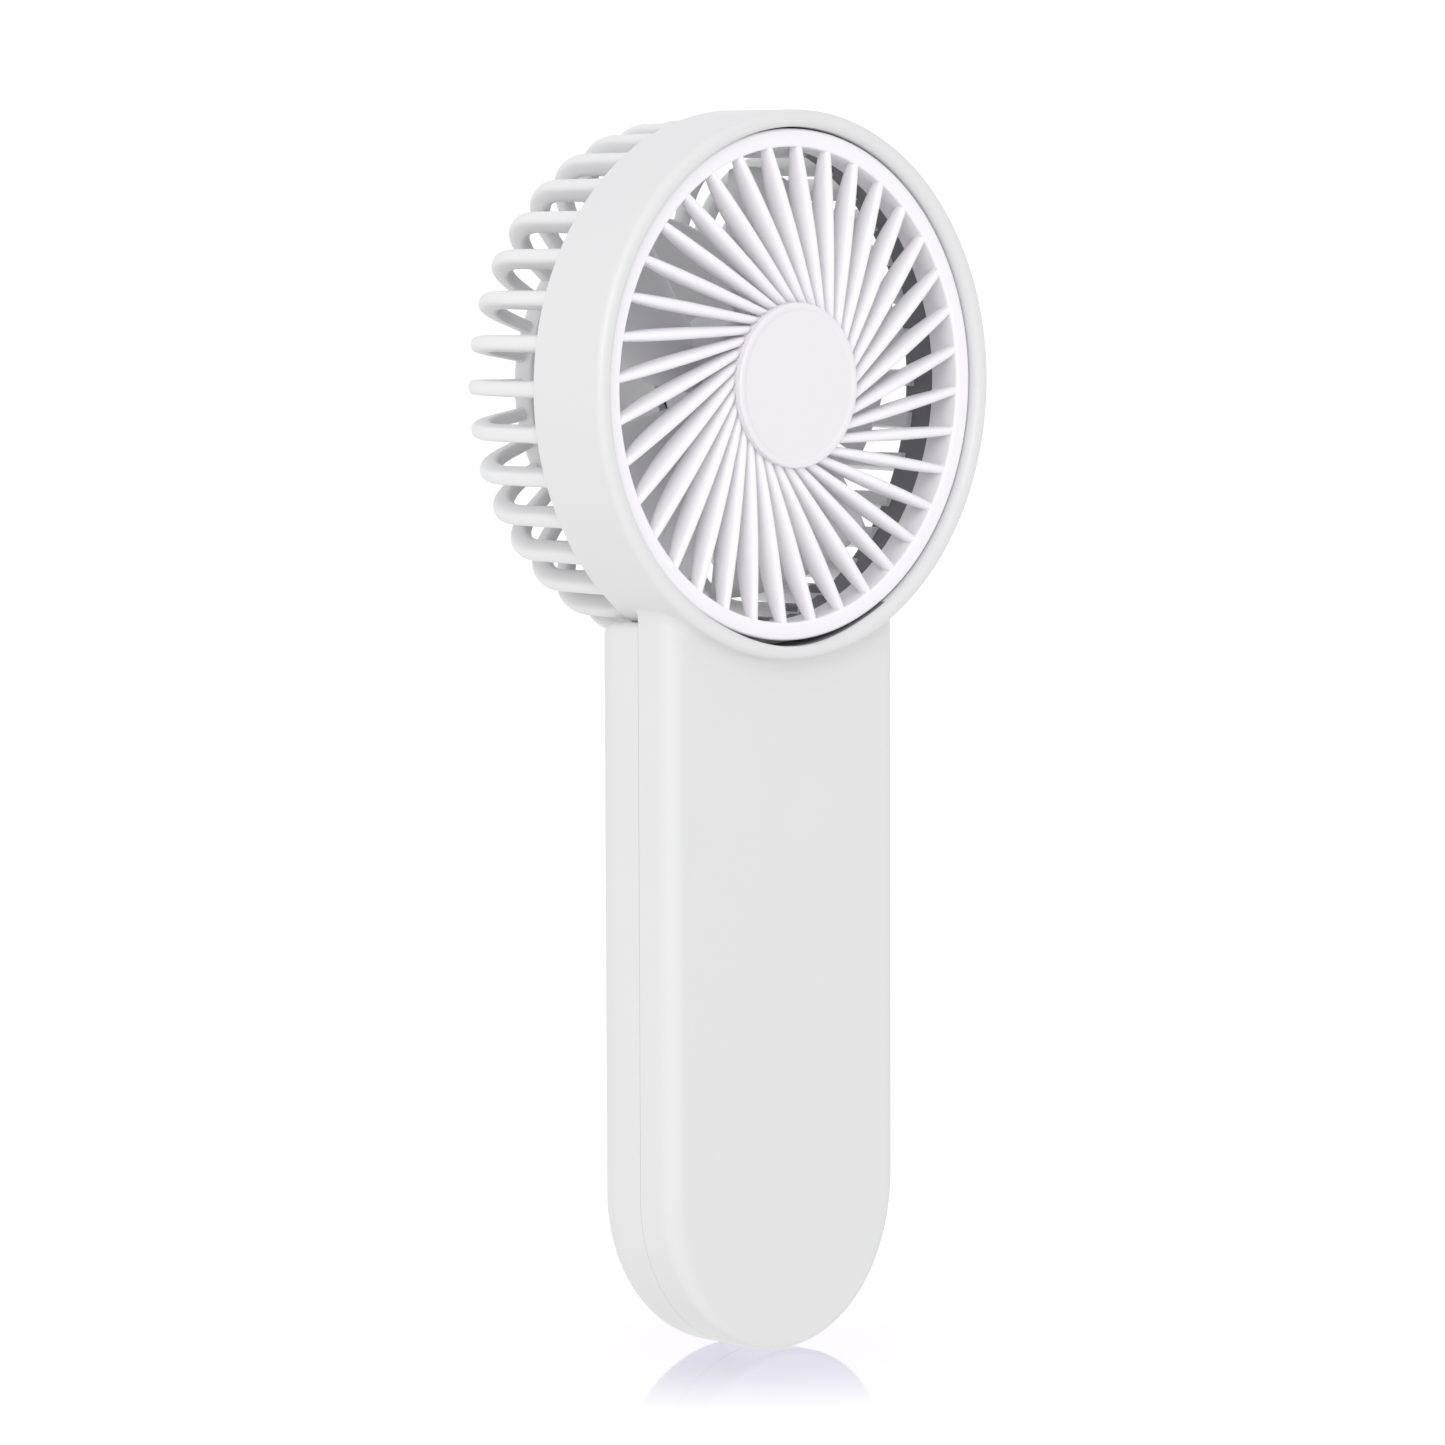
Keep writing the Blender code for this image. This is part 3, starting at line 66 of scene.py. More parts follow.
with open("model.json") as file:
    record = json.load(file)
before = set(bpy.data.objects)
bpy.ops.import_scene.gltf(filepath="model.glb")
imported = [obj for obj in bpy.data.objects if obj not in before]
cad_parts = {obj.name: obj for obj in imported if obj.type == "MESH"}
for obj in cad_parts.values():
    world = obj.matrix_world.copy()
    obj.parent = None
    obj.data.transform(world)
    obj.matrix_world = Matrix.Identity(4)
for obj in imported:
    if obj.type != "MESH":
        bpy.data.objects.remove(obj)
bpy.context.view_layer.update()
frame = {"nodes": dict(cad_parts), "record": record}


def node_box(node, axis, side):
    """One number of a CAD node's box: its low (0) or high (1) side along an axis."""
    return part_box(node)[side][axis]


# The frame's own sizes, which every fine surface keeps to
HEAD_RADIUS = node_box("front_housing", 0, 1)
LIP_CREST = node_box("front_housing", 1, 0)
AXIS_HEIGHT = node_box("front_housing", 2, 1) - HEAD_RADIUS


def depths_of(node):
    """Front and rear of a CAD node, behind the lip's crest."""
    return node_box(node, 1, 0) - LIP_CREST, node_box(node, 1, 1) - LIP_CREST


RING_REAR = depths_of("front_housing")[1]
HANDLE_HALF = node_box("back_cover", 0, 1)
COVER_FRONT, HANDLE_REAR = depths_of("back_cover")
GRILLE_RADIUS = node_box("front_grille", 0, 1)
GRILLE_FRONT, GRILLE_REAR = depths_of("front_grille")
CAP_RADIUS = node_box("grille_cap", 0, 1)
CAP_FRONT, CAP_REAR = depths_of("grille_cap")
CAGE_RADIUS = node_box("rear_cage", 0, 1)
CAGE_FRONT, CAGE_REAR = depths_of("rear_cage")
HUB_COVER_RADIUS = node_box("rear_hub_cover", 0, 1)
HUB_COVER_FRONT = depths_of("rear_hub_cover")[0]
IMPELLER_FRONT, IMPELLER_REAR = depths_of("impeller")
MOTOR_RADIUS = node_box("motor_can", 0, 1)
MOTOR_REAR = depths_of("motor_can")[1]
BUTTON_RISE = (node_box("power_button", 2, 0) + node_box("power_button", 2, 1)) / 2 - AXIS_HEIGHT
BUTTON_FRONT, BUTTON_REAR = depths_of("power_button")
PORT_RISE = (node_box("usb_shell", 2, 0) + node_box("usb_shell", 2, 1)) / 2 - AXIS_HEIGHT
PORT_DEPTH = (node_box("usb_shell", 1, 0) + node_box("usb_shell", 1, 1)) / 2 - LIP_CREST
PORT_THICKNESS = node_box("usb_shell", 1, 1) - node_box("usb_shell", 1, 0)
PORT_WIDTH = node_box("usb_shell", 2, 1) - node_box("usb_shell", 2, 0)
GUIDE_FRONT, GUIDE_REAR = depths_of("light_guide")
LIGHTS = [f"led_{n}" for n in range(1, 5)]
CASE_SCREWS = [f"case_screw_{n}" for n in range(1, 5)]
FOOT_PLACE = LIP_CREST + HANDLE_REAR / 2

# Roundings and gaps that many pieces share
TINY = 0.000001
CRISP = 0.1 * MM
FINE = 0.2 * MM
EDGE = 0.3 * MM
LOOSE = 0.3 * MM

# Painted shade: where a dark colour stands in for the shade on the wall round the impeller and in
# the finger notch
SHADE_LEAST_RADIUS = 38 * MM
SHADE_END = 0.4 * MM
NOTCH_SHADE_SPAN = radians(30)
NOTCH_SHADE_FROM = 1.6 * MM

FINISH_PREFIX = "finish_of_"
MOTTLE_SCALE = 55.0
BUMP_STRENGTH = 0.35
STREAK_SCALE = 2500.0
STREAK_STRETCH = (1.0, 0.06, 1.0)
FLOOR_SIZE = 40.0
SENSOR = 36.0


def middle_of(node):
    """(x, rise) of the middle of a CAD node, seen from the front."""
    low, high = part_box(node)
    return (low.x + high.x) / 2, (low.z + high.z) / 2 - AXIS_HEIGHT


def at(x, depth, rise):
    """World point from a sideways place, a depth behind the lip and a rise above the fan's axis."""
    return Vector((x, LIP_CREST + depth, AXIS_HEIGHT + rise))


# ---------------------------------------------------------------- settings

def length(name, description, default):
    return FloatProperty(name=name, description=description, default=default, unit="LENGTH",
                         precision=5)


def angle(name, description, degrees):
    return FloatProperty(name=name, description=description, default=radians(degrees),
                         subtype="ANGLE")


def number(name, description, default):
    return FloatProperty(name=name, description=description, default=default)


def colour(name, description, default):
    return FloatVectorProperty(name=name, description=description, default=default, size=3,
                               min=0.0, max=1.0, subtype="COLOR")


class HandheldFanHousing(bpy.types.PropertyGroup):
    """Sizes of the two housing mouldings."""

    lip_width: length("Lip width", "Width of the ring's front lip", 2.8 * MM)
    lip_round: length("Lip round", "Rounding of the lip's edges", 1.25 * MM)
    wall: length("Wall", "Thickness of the moulded walls", 1.8 * MM)
    notch: length("Notch", "Depth of the finger notch under the grille", 0.6 * MM)
    notch_span: angle("Notch span", "Half of the angle that the notch covers", 25)
    seat_depth: length("Grille seat depth", "Depth of the ledge behind the grille", 8.0 * MM)
    face_setback: length("Face setback", "Handle's front face behind the lip", 3.7 * MM)
    front_round: length("Front edge round", "Rounding along the handle's front edges", 3.0 * MM)
    toe_round: length("Toe round", "Rounding of the front edge at the handle's end", 1.2 * MM)
    back_round: length("Back edge round", "Rounding along the handle's back edges", 6.0 * MM)
    neck_fillet: length("Neck fillet", "Hollow rounding where the handle meets the ring", 2.3 * MM)
    bottom_rise: length("Bottom rise", "Height of the handle's rounded end", 27.0 * MM)
    clearance: length("Clearance", "Gap round the parts set in the mouldings", 0.3 * MM)
    seam: length("Seam", "Gap that shows between the two mouldings", 0.05 * MM)
    seam_round: length("Seam round", "Rounding of the edges at the seam", 0.1 * MM)
    ledge_round: length("Ledge round", "Rounding of the back cover's upper edge", 0.8 * MM)
    ledge_corner: length("Ledge corner", "Corner where the ledge meets the sides", 1.6 * MM)


class HandheldFanGrille(bpy.types.PropertyGroup):
    """Sizes of the front grille and its cap."""

    rim_width: length("Rim width", "Width of the grille's rim", 2.95 * MM)
    rim_round: length("Rim round", "Rounding of the rim's edges", 0.45 * MM)
    louvres: IntProperty(name="Louvres", description="Number of louvres", default=36, min=3)
    offset: length("Louvre offset", "How far each louvre passes from the fan's axis", 9.3 * MM)
    start: angle("First louvre", "Where the first louvre meets the rim", 2.75)
    root_width: length("Root width", "Louvre width beside the cap", 1.5 * MM)
    tip_width: length("Tip width", "Louvre width at the rim", 1.35 * MM)
    swell: length("Swell", "What a louvre gains in width where it is fullest", 0.65 * MM)
    root_depth: length("Root depth", "Louvre depth beside the cap", 3.2 * MM)
    tip_depth: length("Tip depth", "Louvre depth at the rim", 1.8 * MM)
    keel: length("Keel", "What a louvre gains in depth where it is fullest", 2.2 * MM)
    crown: length("Crown", "How far the louvres bow forwards", 0.5 * MM)
    cap_bead: length("Cap bead", "Width of the raised edge round the cap", 0.9 * MM)
    cap_dish: length("Cap dish", "Depth of the cap's face behind its edge", 0.18 * MM)


class HandheldFanCage(bpy.types.PropertyGroup):
    """Sizes of the rear cage and its cover."""

    ribs: IntProperty(name="Ribs", description="Number of cage ribs", default=36, min=3)
    root_width: length("Root width", "Rib width at the ring", 2.75 * MM)
    middle_width: length("Middle width", "Rib width at the corner", 2.5 * MM)
    tip_width: length("Tip width", "Rib width at the hub", 1.95 * MM)
    slimness: number("Slimness", "Rib thickness over its width", 1.45)
    rounding: number("Rounding", "Rounding of the ribs over their width", 0.40)
    corner: length("Corner", "Outer rounding of the cage", 11.0 * MM)
    collar_wall: length("Collar wall", "Thickness of the collar inside the ring", 2.1 * MM)
    hub_radius: length("Hub radius", "Radius of the solid plate at the back", 27.5 * MM)
    hub_thickness: length("Hub thickness", "Thickness of the plate", 4.0 * MM)
    socket_wall: length("Socket wall", "Wall of the tube that holds the motor", 1.7 * MM)


class HandheldFanImpeller(bpy.types.PropertyGroup):
    """Sizes of the impeller."""

    blades: IntProperty(name="Blades", description="Number of blades", default=5, min=2)
    hub_radius: length("Hub radius", "Radius of the hub cup", 11.8 * MM)
    tip_radius: length("Tip radius", "Radius of the blade tips", 35.5 * MM)
    wall: length("Hub wall", "Wall of the hub cup", 1.3 * MM)
    thickness: length("Blade thickness", "Thickness of a blade", 1.2 * MM)
    root_span: angle("Root span", "Angle that a blade covers at the hub", 60)
    tip_span: angle("Tip span", "Angle that a blade covers at its tip", 50)
    sweep: angle("Sweep", "How far the tip leads the root", 14)
    start: angle("First blade", "Where the first blade begins", -6)


class HandheldFanColours(bpy.types.PropertyGroup):
    """Colours of the finishes."""

    housing: colour("Housing", "Neutral grey-white shell", (0.705, 0.705, 0.71))
    cage: colour("Cage", "Rear cage", (0.75, 0.75, 0.755))
    grille: colour("Grille", "Bright white grille", (0.875, 0.86, 0.885))
    # Painted shade: a dark grey that stands in for the shade inside the ring round the impeller,
    # not the plastic's own colour
    duct: colour("Duct", "Inner wall round the impeller", (0.20, 0.20, 0.21))
    cap: colour("Cap", "Lavender-white cap", (0.785, 0.768, 0.785))
    impeller: colour("Impeller", "Blades and their hub", (0.70, 0.70, 0.71))
    button: colour("Button", "Power button", (0.77, 0.77, 0.775))
    sheen: colour("Sheen", "Tint of the floor's reflection", (0.82, 0.80, 0.945))


class HandheldFanStage(bpy.types.PropertyGroup):
    """Camera and light."""

    azimuth: angle("Azimuth", "Camera's angle round the fan, 0 in front of it", -45)
    elevation: angle("Elevation", "Camera's angle above the head", 1.8)
    roll: angle("Roll", "Camera's tilt about its own line of sight", -0.2)
    distance: length("Distance", "Camera to head", 1.0)
    aim_left: length("Aim left", "Aim to the left of the head's middle", 12.95 * MM)
    aim_below: length("Aim below", "Aim below the head's middle", 54.8 * MM)
    focal_length: number("Focal length", "Lens in millimetres", 153.1)
    background: number("Background", "Brightness of floor and backdrop", 1.15)
    surround: number("Surround", "Strength of the even light", 0.875)
    floor_light: number("Floor light", "Strength of the light off the floor", 0.95)
    key: number("Key light", "Power of the large front left light in watts", 8.0)
    fill: number("Side light", "Power of the right light in watts", 0.8)


GROUPS = {
    "fan_housing": HandheldFanHousing,
    "fan_grille": HandheldFanGrille,
    "fan_cage": HandheldFanCage,
    "fan_impeller": HandheldFanImpeller,
    "fan_colours": HandheldFanColours,
    "fan_stage": HandheldFanStage,
}


# ---------------------------------------------------------------- finishes

def new_finish(name):
    """A new material with its node tree and its shader."""
    made = bpy.data.materials.new(FINISH_PREFIX + name)
    made.use_nodes = True
    return made, made.node_tree, made.node_tree.nodes["Principled BSDF"]


def object_place(tree):
    """Object coordinates."""
    return node(tree, "ShaderNodeTexCoord").outputs["Object"]


def noise(tree, place, scale, detail=2.0):
    """A noise texture read at a place."""
    return node(tree, "ShaderNodeTexNoise", {
        "Scale": scale, "Detail": detail, "Vector": place,
    }).outputs["Fac"]


def roughen(tree, shader, pattern, roughness, spread):
    """Lets a pattern vary the roughness by a share of itself."""
    gloss = node(tree, "ShaderNodeMapRange", {
        "Value": pattern, "To Min": roughness * (1 - spread), "To Max": roughness * (1 + spread),
    })
    tree.links.new(gloss.outputs["Result"], shader.inputs["Roughness"])


def bump(tree, shader, pattern, depth):
    """Lets a pattern raise the surface by a depth in millimetres."""
    relief = node(tree, "ShaderNodeBump", {
        "Strength": BUMP_STRENGTH, "Distance": depth * MM, "Height": pattern,
    })
    tree.links.new(relief.outputs["Normal"], shader.inputs["Normal"])


def plastic(name, tint, roughness, grain=1800.0, grain_depth=0.006, mottle=0.012):
    """Moulded plastic: a faint mottle in colour and gloss, and the mould's fine spark texture."""
    made, tree, shader = new_finish(name)
    place = object_place(tree)
    cloud = noise(tree, place, MOTTLE_SCALE, 3.0)
    shades = node(tree, "ShaderNodeMix", {
        0: cloud,
        6: (*[min(1.0, c * (1 - mottle)) for c in tint], 1.0),
        7: (*[min(1.0, c * (1 + mottle)) for c in tint], 1.0),
    }, data_type="RGBA")
    tree.links.new(shades.outputs[2], shader.inputs["Base Color"])
    roughen(tree, shader, cloud, roughness, 0.1)
    bump(tree, shader, noise(tree, place, grain), grain_depth)
    return made


def metal(name, tint, roughness):
    """Plated or turned metal with fine drawn streaks."""
    made, tree, shader = new_finish(name)
    shader.inputs["Metallic"].default_value = 1.0
    shader.inputs["Base Color"].default_value = (*tint, 1.0)
    stretch = node(tree, "ShaderNodeMapping", {
        "Vector": object_place(tree), "Scale": STREAK_STRETCH,
    })
    streaks = noise(tree, stretch.outputs["Vector"], STREAK_SCALE)
    roughen(tree, shader, streaks, roughness, 0.3)
    bump(tree, shader, streaks, 0.003)
    return made


def clear_plastic():
    """Frosted light pipe."""
    made = plastic("clear_plastic", (0.93, 0.95, 0.96), 0.25, grain_depth=0.003)
    shader = made.node_tree.nodes["Principled BSDF"]
    shader.inputs["Transmission Weight"].default_value = 0.55
    shader.inputs["IOR"].default_value = 1.49
    return made


def painted(name, roughness, grain_depth=0.006):
    """A plastic in one of the colours that the panel sets."""
    tint = getattr(bpy.context.scene.fan_colours, name)
    return plastic(name + "_plastic", tint, roughness, grain_depth=grain_depth)


FINISHES = {
    # Painted shade for the wall round the impeller and the notch
    "duct_plastic": lambda: painted("duct", 0.5),
    "housing_plastic": lambda: painted("housing", 0.38),
    "grille_plastic": lambda: painted("grille", 0.34, 0.003),
    "cap_plastic": lambda: painted("cap", 0.34, 0.004),
    "cage_plastic": lambda: painted("cage", 0.40),
    "impeller_plastic": lambda: painted("impeller", 0.30, 0.003),
    "button_plastic": lambda: painted("button", 0.30, 0.003),
    "clear_plastic": clear_plastic,
    "steel": lambda: metal("steel", (0.60, 0.60, 0.61), 0.28),
    "screw_steel": lambda: metal("screw_steel", (0.55, 0.55, 0.56), 0.32),
    "copper": lambda: metal("copper", (0.72, 0.40, 0.25), 0.34),
    "brass": lambda: metal("brass", (0.76, 0.60, 0.32), 0.34),
    "magnet_ferrite": lambda: plastic(
        "magnet_ferrite", (0.07, 0.07, 0.075), 0.6, 900.0, 0.02, 0.08),
    "black_plastic": lambda: plastic("black_plastic", (0.03, 0.03, 0.033), 0.45),
    "board_laminate": lambda: plastic(
        "board_laminate", (0.02, 0.16, 0.08), 0.35, 700.0, 0.01, 0.10),
    "battery_foil": lambda: plastic(
        "battery_foil", (0.62, 0.63, 0.65), 0.32, 300.0, 0.03, 0.05),
    "foam": lambda: plastic("foam", (0.08, 0.08, 0.085), 0.9, 1200.0, 0.12, 0.15),
    "wire_red": lambda: plastic("wire_red", (0.50, 0.03, 0.03), 0.42),
    "wire_black": lambda: plastic("wire_black", (0.02, 0.02, 0.02), 0.42),
}


def finish(slot):
    """The finish for a slot of the record, made once."""
    return bpy.data.materials.get(FINISH_PREFIX + slot) or FINISHES[slot]()


# ---------------------------------------------------------------- outlines and skins

# How much of an edge one rounding may take, and where the guard point stands past it
ROUND_SHARE = 0.48
GUARD_SHARE = 0.49
GUARD_REACH = 1.3


def soften(corners, closed=False, steps=5):
    """Round the (x, y, rounding) corners of an outline, with a guard point beside each one."""
    points = []
    count = len(corners)
    for n, (x, y, size) in enumerate(corners):
        here = Vector((x, y))
        if size == 0 or (not closed and n in (0, count - 1)):
            points.append((x, y))
            continue
        before = Vector(corners[n - 1][:2]) - here
        after = Vector(corners[(n + 1) % count][:2]) - here
        half = before.angle(after) / 2
        reach = min(size / tan(half), ROUND_SHARE * before.length, ROUND_SHARE * after.length)
        size = reach * tan(half)
        before_guard = min(GUARD_REACH * reach, GUARD_SHARE * before.length)
        after_guard = min(GUARD_REACH * reach, GUARD_SHARE * after.length)
        before.normalize()
        after.normalize()
        middle = here + (before + after).normalized() * size / sin(half)
        first = (here + before * reach - middle).normalized()
        second = (here + after * reach - middle).normalized()
        points.append(tuple(here + before * before_guard))
        for step in range(steps + 1):
            points.append(tuple(middle + first.slerp(second, step / steps) * size))
        points.append(tuple(here + after * after_guard))
    return points


def turn(shape, outline, closed=False, steps=160, centre=(0.0, 0.0)):
    """Skin an outline of (radius, depth) points round an axis along Y."""
    poles = {n: shape.verts.new(at(centre[0], depth, centre[1]))
             for n, (radius, depth) in enumerate(outline) if radius < TINY}
    columns = []
    for step in range(steps):
        angle = 2 * pi * step / steps
        across, up = cos(angle), sin(angle)
        columns.append([
            poles.get(n) or shape.verts.new(
                at(centre[0] + radius * across, depth, centre[1] + radius * up))
            for n, (radius, depth) in enumerate(outline)
        ])
    last = len(outline) if closed else len(outline) - 1
    for near, far in zip(columns, columns[1:] + columns[:1]):
        for n in range(last):
            after = (n + 1) % len(outline)
            corners = [near[n], near[after], far[after], far[n]]
            shape.faces.new(list(dict.fromkeys(corners)))


def skin(shape, rings, closed=True):
    """Faces between neighbouring rows of vertices."""
    for near, far in zip(rings, rings[1:]):
        last = len(near) if closed else len(near) - 1
        for n in range(last):
            after = (n + 1) % len(near)
            shape.faces.new((near[n], near[after], far[after], far[n]))


def capped(shape, rings):
    """A closed tube through rings of vertices, with a face at each end."""
    skin(shape, rings)
    shape.faces.new(rings[0])
    shape.faces.new(rings[-1])


def as_mesh(shape, name, merge=TINY):
    """A mesh from a bmesh, its doubles merged and its faces turned outwards."""
    bmesh.ops.remove_doubles(shape, verts=shape.verts, dist=merge)
    bmesh.ops.recalc_face_normals(shape, faces=shape.faces)
    if shape.calc_volume(signed=True) < 0:
        bmesh.ops.reverse_faces(shape, faces=shape.faces)
    mesh = bpy.data.meshes.new(name)
    shape.to_mesh(mesh)
    shape.free()
    return mesh


def shown(mesh, name):
    """A new object holding the mesh, in the scene."""
    made = bpy.data.objects.new(name, mesh)
    bpy.context.scene.collection.objects.link(made)
    return made


def evaluated_mesh(made):
    """What an object's modifiers make of it, as a new mesh."""
    bpy.context.view_layer.update()
    evaluated = made.evaluated_get(bpy.context.evaluated_depsgraph_get())
    return bpy.data.meshes.new_from_object(evaluated)


def replaced(made, mesh):
    """An object with no modifiers and another mesh."""
    made.modifiers.clear()
    made.data = mesh
    return made


def settled(made):
    """Turn an object's modifiers into its plain mesh."""
    return replaced(made, evaluated_mesh(made))


def carved(made, tools):
    """Cut the tools out of an object, and remove them."""
    for tool in tools:
        cut = made.modifiers.new(tool.name, "BOOLEAN")
        cut.operation = "DIFFERENCE"
        cut.solver = "EXACT"
        cut.object = tool
    settled(made)
    for tool in tools:
        bpy.data.objects.remove(tool)
    return made


def thickened(made, wall):
    """Give an open surface a wall on its inner side."""
    shell = made.modifiers.new("wall", "SOLIDIFY")
    shell.thickness = wall
    shell.offset = -1.0
    shell.use_even_offset = True
    return settled(made)


def mounted(made, body, nodes, slot, sharpest=38, shade_faces=None):
    """Finish a piece: smooth shading, its material, its body and the nodes it stands for.

    The last argument picks the faces that take the painted shade on the wall round the impeller and
    in the notch.
    """
    made.data.materials.clear()
    made.data.materials.append(finish(slot))
    # A second material of painted shade for the faces that the mask picks
    if shade_faces:
        made.data.materials.append(finish("duct_plastic"))
    for face in made.data.polygons:
        face.material_index = 1 if shade_faces and shade_faces(face) else 0
    made.data.shade_smooth()
    made.data.set_sharp_from_angle(angle=radians(sharpest))
    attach(made, body)
    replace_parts(made, *nodes)
    return made


def turned_piece(name, outlines, steps=160, centre=(0.0, 0.0)):
    """An object made of closed or pole-to-pole outlines turned about one axis."""
    shape = bmesh.new()
    for outline in outlines:
        closed = min(outline[0][0], outline[-1][0]) > TINY
        turn(shape, outline, closed, steps, centre)
    return shown(as_mesh(shape, name), name)


# ---------------------------------------------------------------- geometry node trees

def new_tree(name, inputs):
    """A geometry tree with a geometry input, the named inputs and a geometry output."""
    tree = bpy.data.node_groups.new(name, "GeometryNodeTree")
    tree.interface.new_socket(name="Geometry", in_out="INPUT", socket_type="NodeSocketGeometry")
    for title, kind in inputs:
        tree.interface.new_socket(name=title, in_out="INPUT", socket_type="NodeSocket" + kind)
    tree.interface.new_socket(name="Geometry", in_out="OUTPUT", socket_type="NodeSocketGeometry")
    tree.nodes.new("NodeGroupInput")
    tree.nodes.new("NodeGroupOutput")
    return tree


def node(tree, kind, inputs=None, **settings):
    """A node with its settings, and its inputs linked or set, by name or by number."""
    made = tree.nodes.new(kind)
    for key, value in settings.items():
        setattr(made, key, value)
    for key, value in (inputs or {}).items():
        if isinstance(value, bpy.types.NodeSocket):
            tree.links.new(value, made.inputs[key])
        else:
            made.inputs[key].default_value = value
    return made


def finish_tree(tree, geometry, material):
    """Realize Instances, Set Material and the output."""
    real = node(tree, "GeometryNodeRealizeInstances", {"Geometry": geometry})
    coloured = node(tree, "GeometryNodeSetMaterial", {
        "Geometry": real.outputs[0], "Material": material,
    })
    tree.links.new(coloured.outputs[0], tree.nodes["Group Output"].inputs[0])
    return tree


def bar_tree():
    """Sweeps a rounded bar along a path, its width changing from root to middle to tip."""
    tree = new_tree("swept_bar", [
        ("Root Width", "Float"), ("Middle Width", "Float"), ("Tip Width", "Float"),
        ("Slimness", "Float"), ("Rounding", "Float"), ("Rounding Steps", "Int"),
        ("Material", "Material"),
    ])
    given = tree.nodes["Group Input"].outputs
    share = node(tree, "GeometryNodeSplineParameter").outputs["Factor"]
    inner = node(tree, "ShaderNodeMapRange", {
        "Value": share, "From Min": 0.0, "From Max": 0.5,
        "To Min": given["Root Width"], "To Max": given["Middle Width"],
    }, interpolation_type="SMOOTHSTEP")
    outer = node(tree, "ShaderNodeMapRange", {
        "Value": share, "From Min": 0.5, "From Max": 1.0,
        "To Min": given["Middle Width"], "To Max": given["Tip Width"],
    }, interpolation_type="SMOOTHSTEP")
    past = node(tree, "FunctionNodeCompare", {"A": share, "B": 0.5}, operation="GREATER_THAN")
    width = node(tree, "GeometryNodeSwitch", {
        "Switch": past.outputs[0], "False": inner.outputs[0], "True": outer.outputs[0],
    }, input_type="FLOAT")
    upright = node(tree, "GeometryNodeSetCurveNormal", {"Curve": given["Geometry"]}, mode="Z_UP")
    oblong = node(tree, "GeometryNodeCurvePrimitiveQuadrilateral", {
        "Width": given["Slimness"], "Height": 1.0,
    })
    section = node(tree, "GeometryNodeFilletCurve", {
        "Curve": oblong.outputs[0], "Count": given["Rounding Steps"], "Radius": given["Rounding"],
    }, mode="POLY")
    bar = node(tree, "GeometryNodeCurveToMesh", {
        "Curve": upright.outputs[0], "Profile Curve": section.outputs[0],
        "Scale": width.outputs[0], "Fill Caps": True,
    })
    return finish_tree(tree, bar.outputs[0], given["Material"])


def wheel_tree():
    """Repeats a piece round an axis along Y, evenly spaced from a start angle."""
    tree = new_tree("copies_round_axis", [
        ("Count", "Int"), ("Start", "Float"), ("Axis Height", "Float"), ("Material", "Material"),
    ])
    given = tree.nodes["Group Input"].outputs
    height = node(tree, "ShaderNodeCombineXYZ", {"Z": given["Axis Height"]})
    points = node(tree, "GeometryNodePoints", {
        "Count": given["Count"], "Position": height.outputs[0],
    })
    index = node(tree, "GeometryNodeInputIndex").outputs[0]
    step = node(tree, "ShaderNodeMath", {0: 2 * pi, 1: given["Count"]}, operation="DIVIDE")
    angle = node(tree, "ShaderNodeMath", {0: index, 1: step.outputs[0], 2: given["Start"]},
                 operation="MULTIPLY_ADD")
    spin = node(tree, "ShaderNodeCombineXYZ", {"Y": angle.outputs[0]})
    copies = node(tree, "GeometryNodeInstanceOnPoints", {
        "Points": points.outputs[0], "Instance": given["Geometry"], "Rotation": spin.outputs[0],
    })
    return finish_tree(tree, copies.outputs[0], given["Material"])


def scatter_tree():
    """Puts a copy of a piece at each point of another object."""
    tree = new_tree("copies_at_places", [("Places", "Object"), ("Material", "Material")])
    given = tree.nodes["Group Input"].outputs
    places = node(tree, "GeometryNodeObjectInfo", {"Object": given["Places"]})
    copies = node(tree, "GeometryNodeInstanceOnPoints", {
        "Points": places.outputs["Geometry"], "Instance": given["Geometry"],
    })
    return finish_tree(tree, copies.outputs[0], given["Material"])


TREES = {
    "swept_bar": bar_tree,
    "copies_round_axis": wheel_tree,
    "copies_at_places": scatter_tree,
}


def grown(made, tree_name, **values):
    """A plain mesh of an object run through a tree, with the tree's inputs set."""
    change = made.modifiers.new(tree_name, "NODES")
    change.node_group = bpy.data.node_groups.get(tree_name) or TREES[tree_name]()
    for item in change.node_group.interface.items_tree:
        key = item.name.lower().replace(" ", "_")
        if item.in_out == "INPUT" and key in values:
            change[item.identifier] = values[key]
    return evaluated_mesh(made)


def copied_round_axis(made, count, start, slot):
    """Swap a piece drawn about an axis at height 0 for evenly spaced copies round the fan's."""
    return replaced(made, grown(made, "copies_round_axis", count=count, start=start,
                                axis_height=AXIS_HEIGHT, material=finish(slot)))


def copied_to(made, nodes, slot):
    """Swap a piece drawn on the fan's axis for a copy at the middle of each CAD node."""
    spots = bpy.data.meshes.new("spots")
    spots.from_pydata([(x, 0.0, rise) for x, rise in map(middle_of, nodes)], [], [])
    places = shown(spots, "spots")
    replaced(made, grown(made, "copies_at_places", places=places, material=finish(slot)))
    bpy.data.objects.remove(places)
    return made


def path(name, points):
    """A poly curve through (x, depth, rise) points, drawn about an axis at height 0."""
    line = bpy.data.curves.new(name, "CURVE")
    line.dimensions = "3D"
    spline = line.splines.new("POLY")
    spline.points.add(len(points) - 1)
    for point, (x, depth, rise) in zip(spline.points, points):
        point.co = (x, LIP_CREST + depth, rise, 1.0)
    return line


def joined(made, others):
    """One object with the meshes of all, the others removed."""
    shape = bmesh.new()
    for part in [made, *others]:
        shape.from_mesh(part.data)
    for other in others:
        bpy.data.objects.remove(other)
    shape.to_mesh(made.data)
    shape.free()
    return made


# ---------------------------------------------------------------- housing

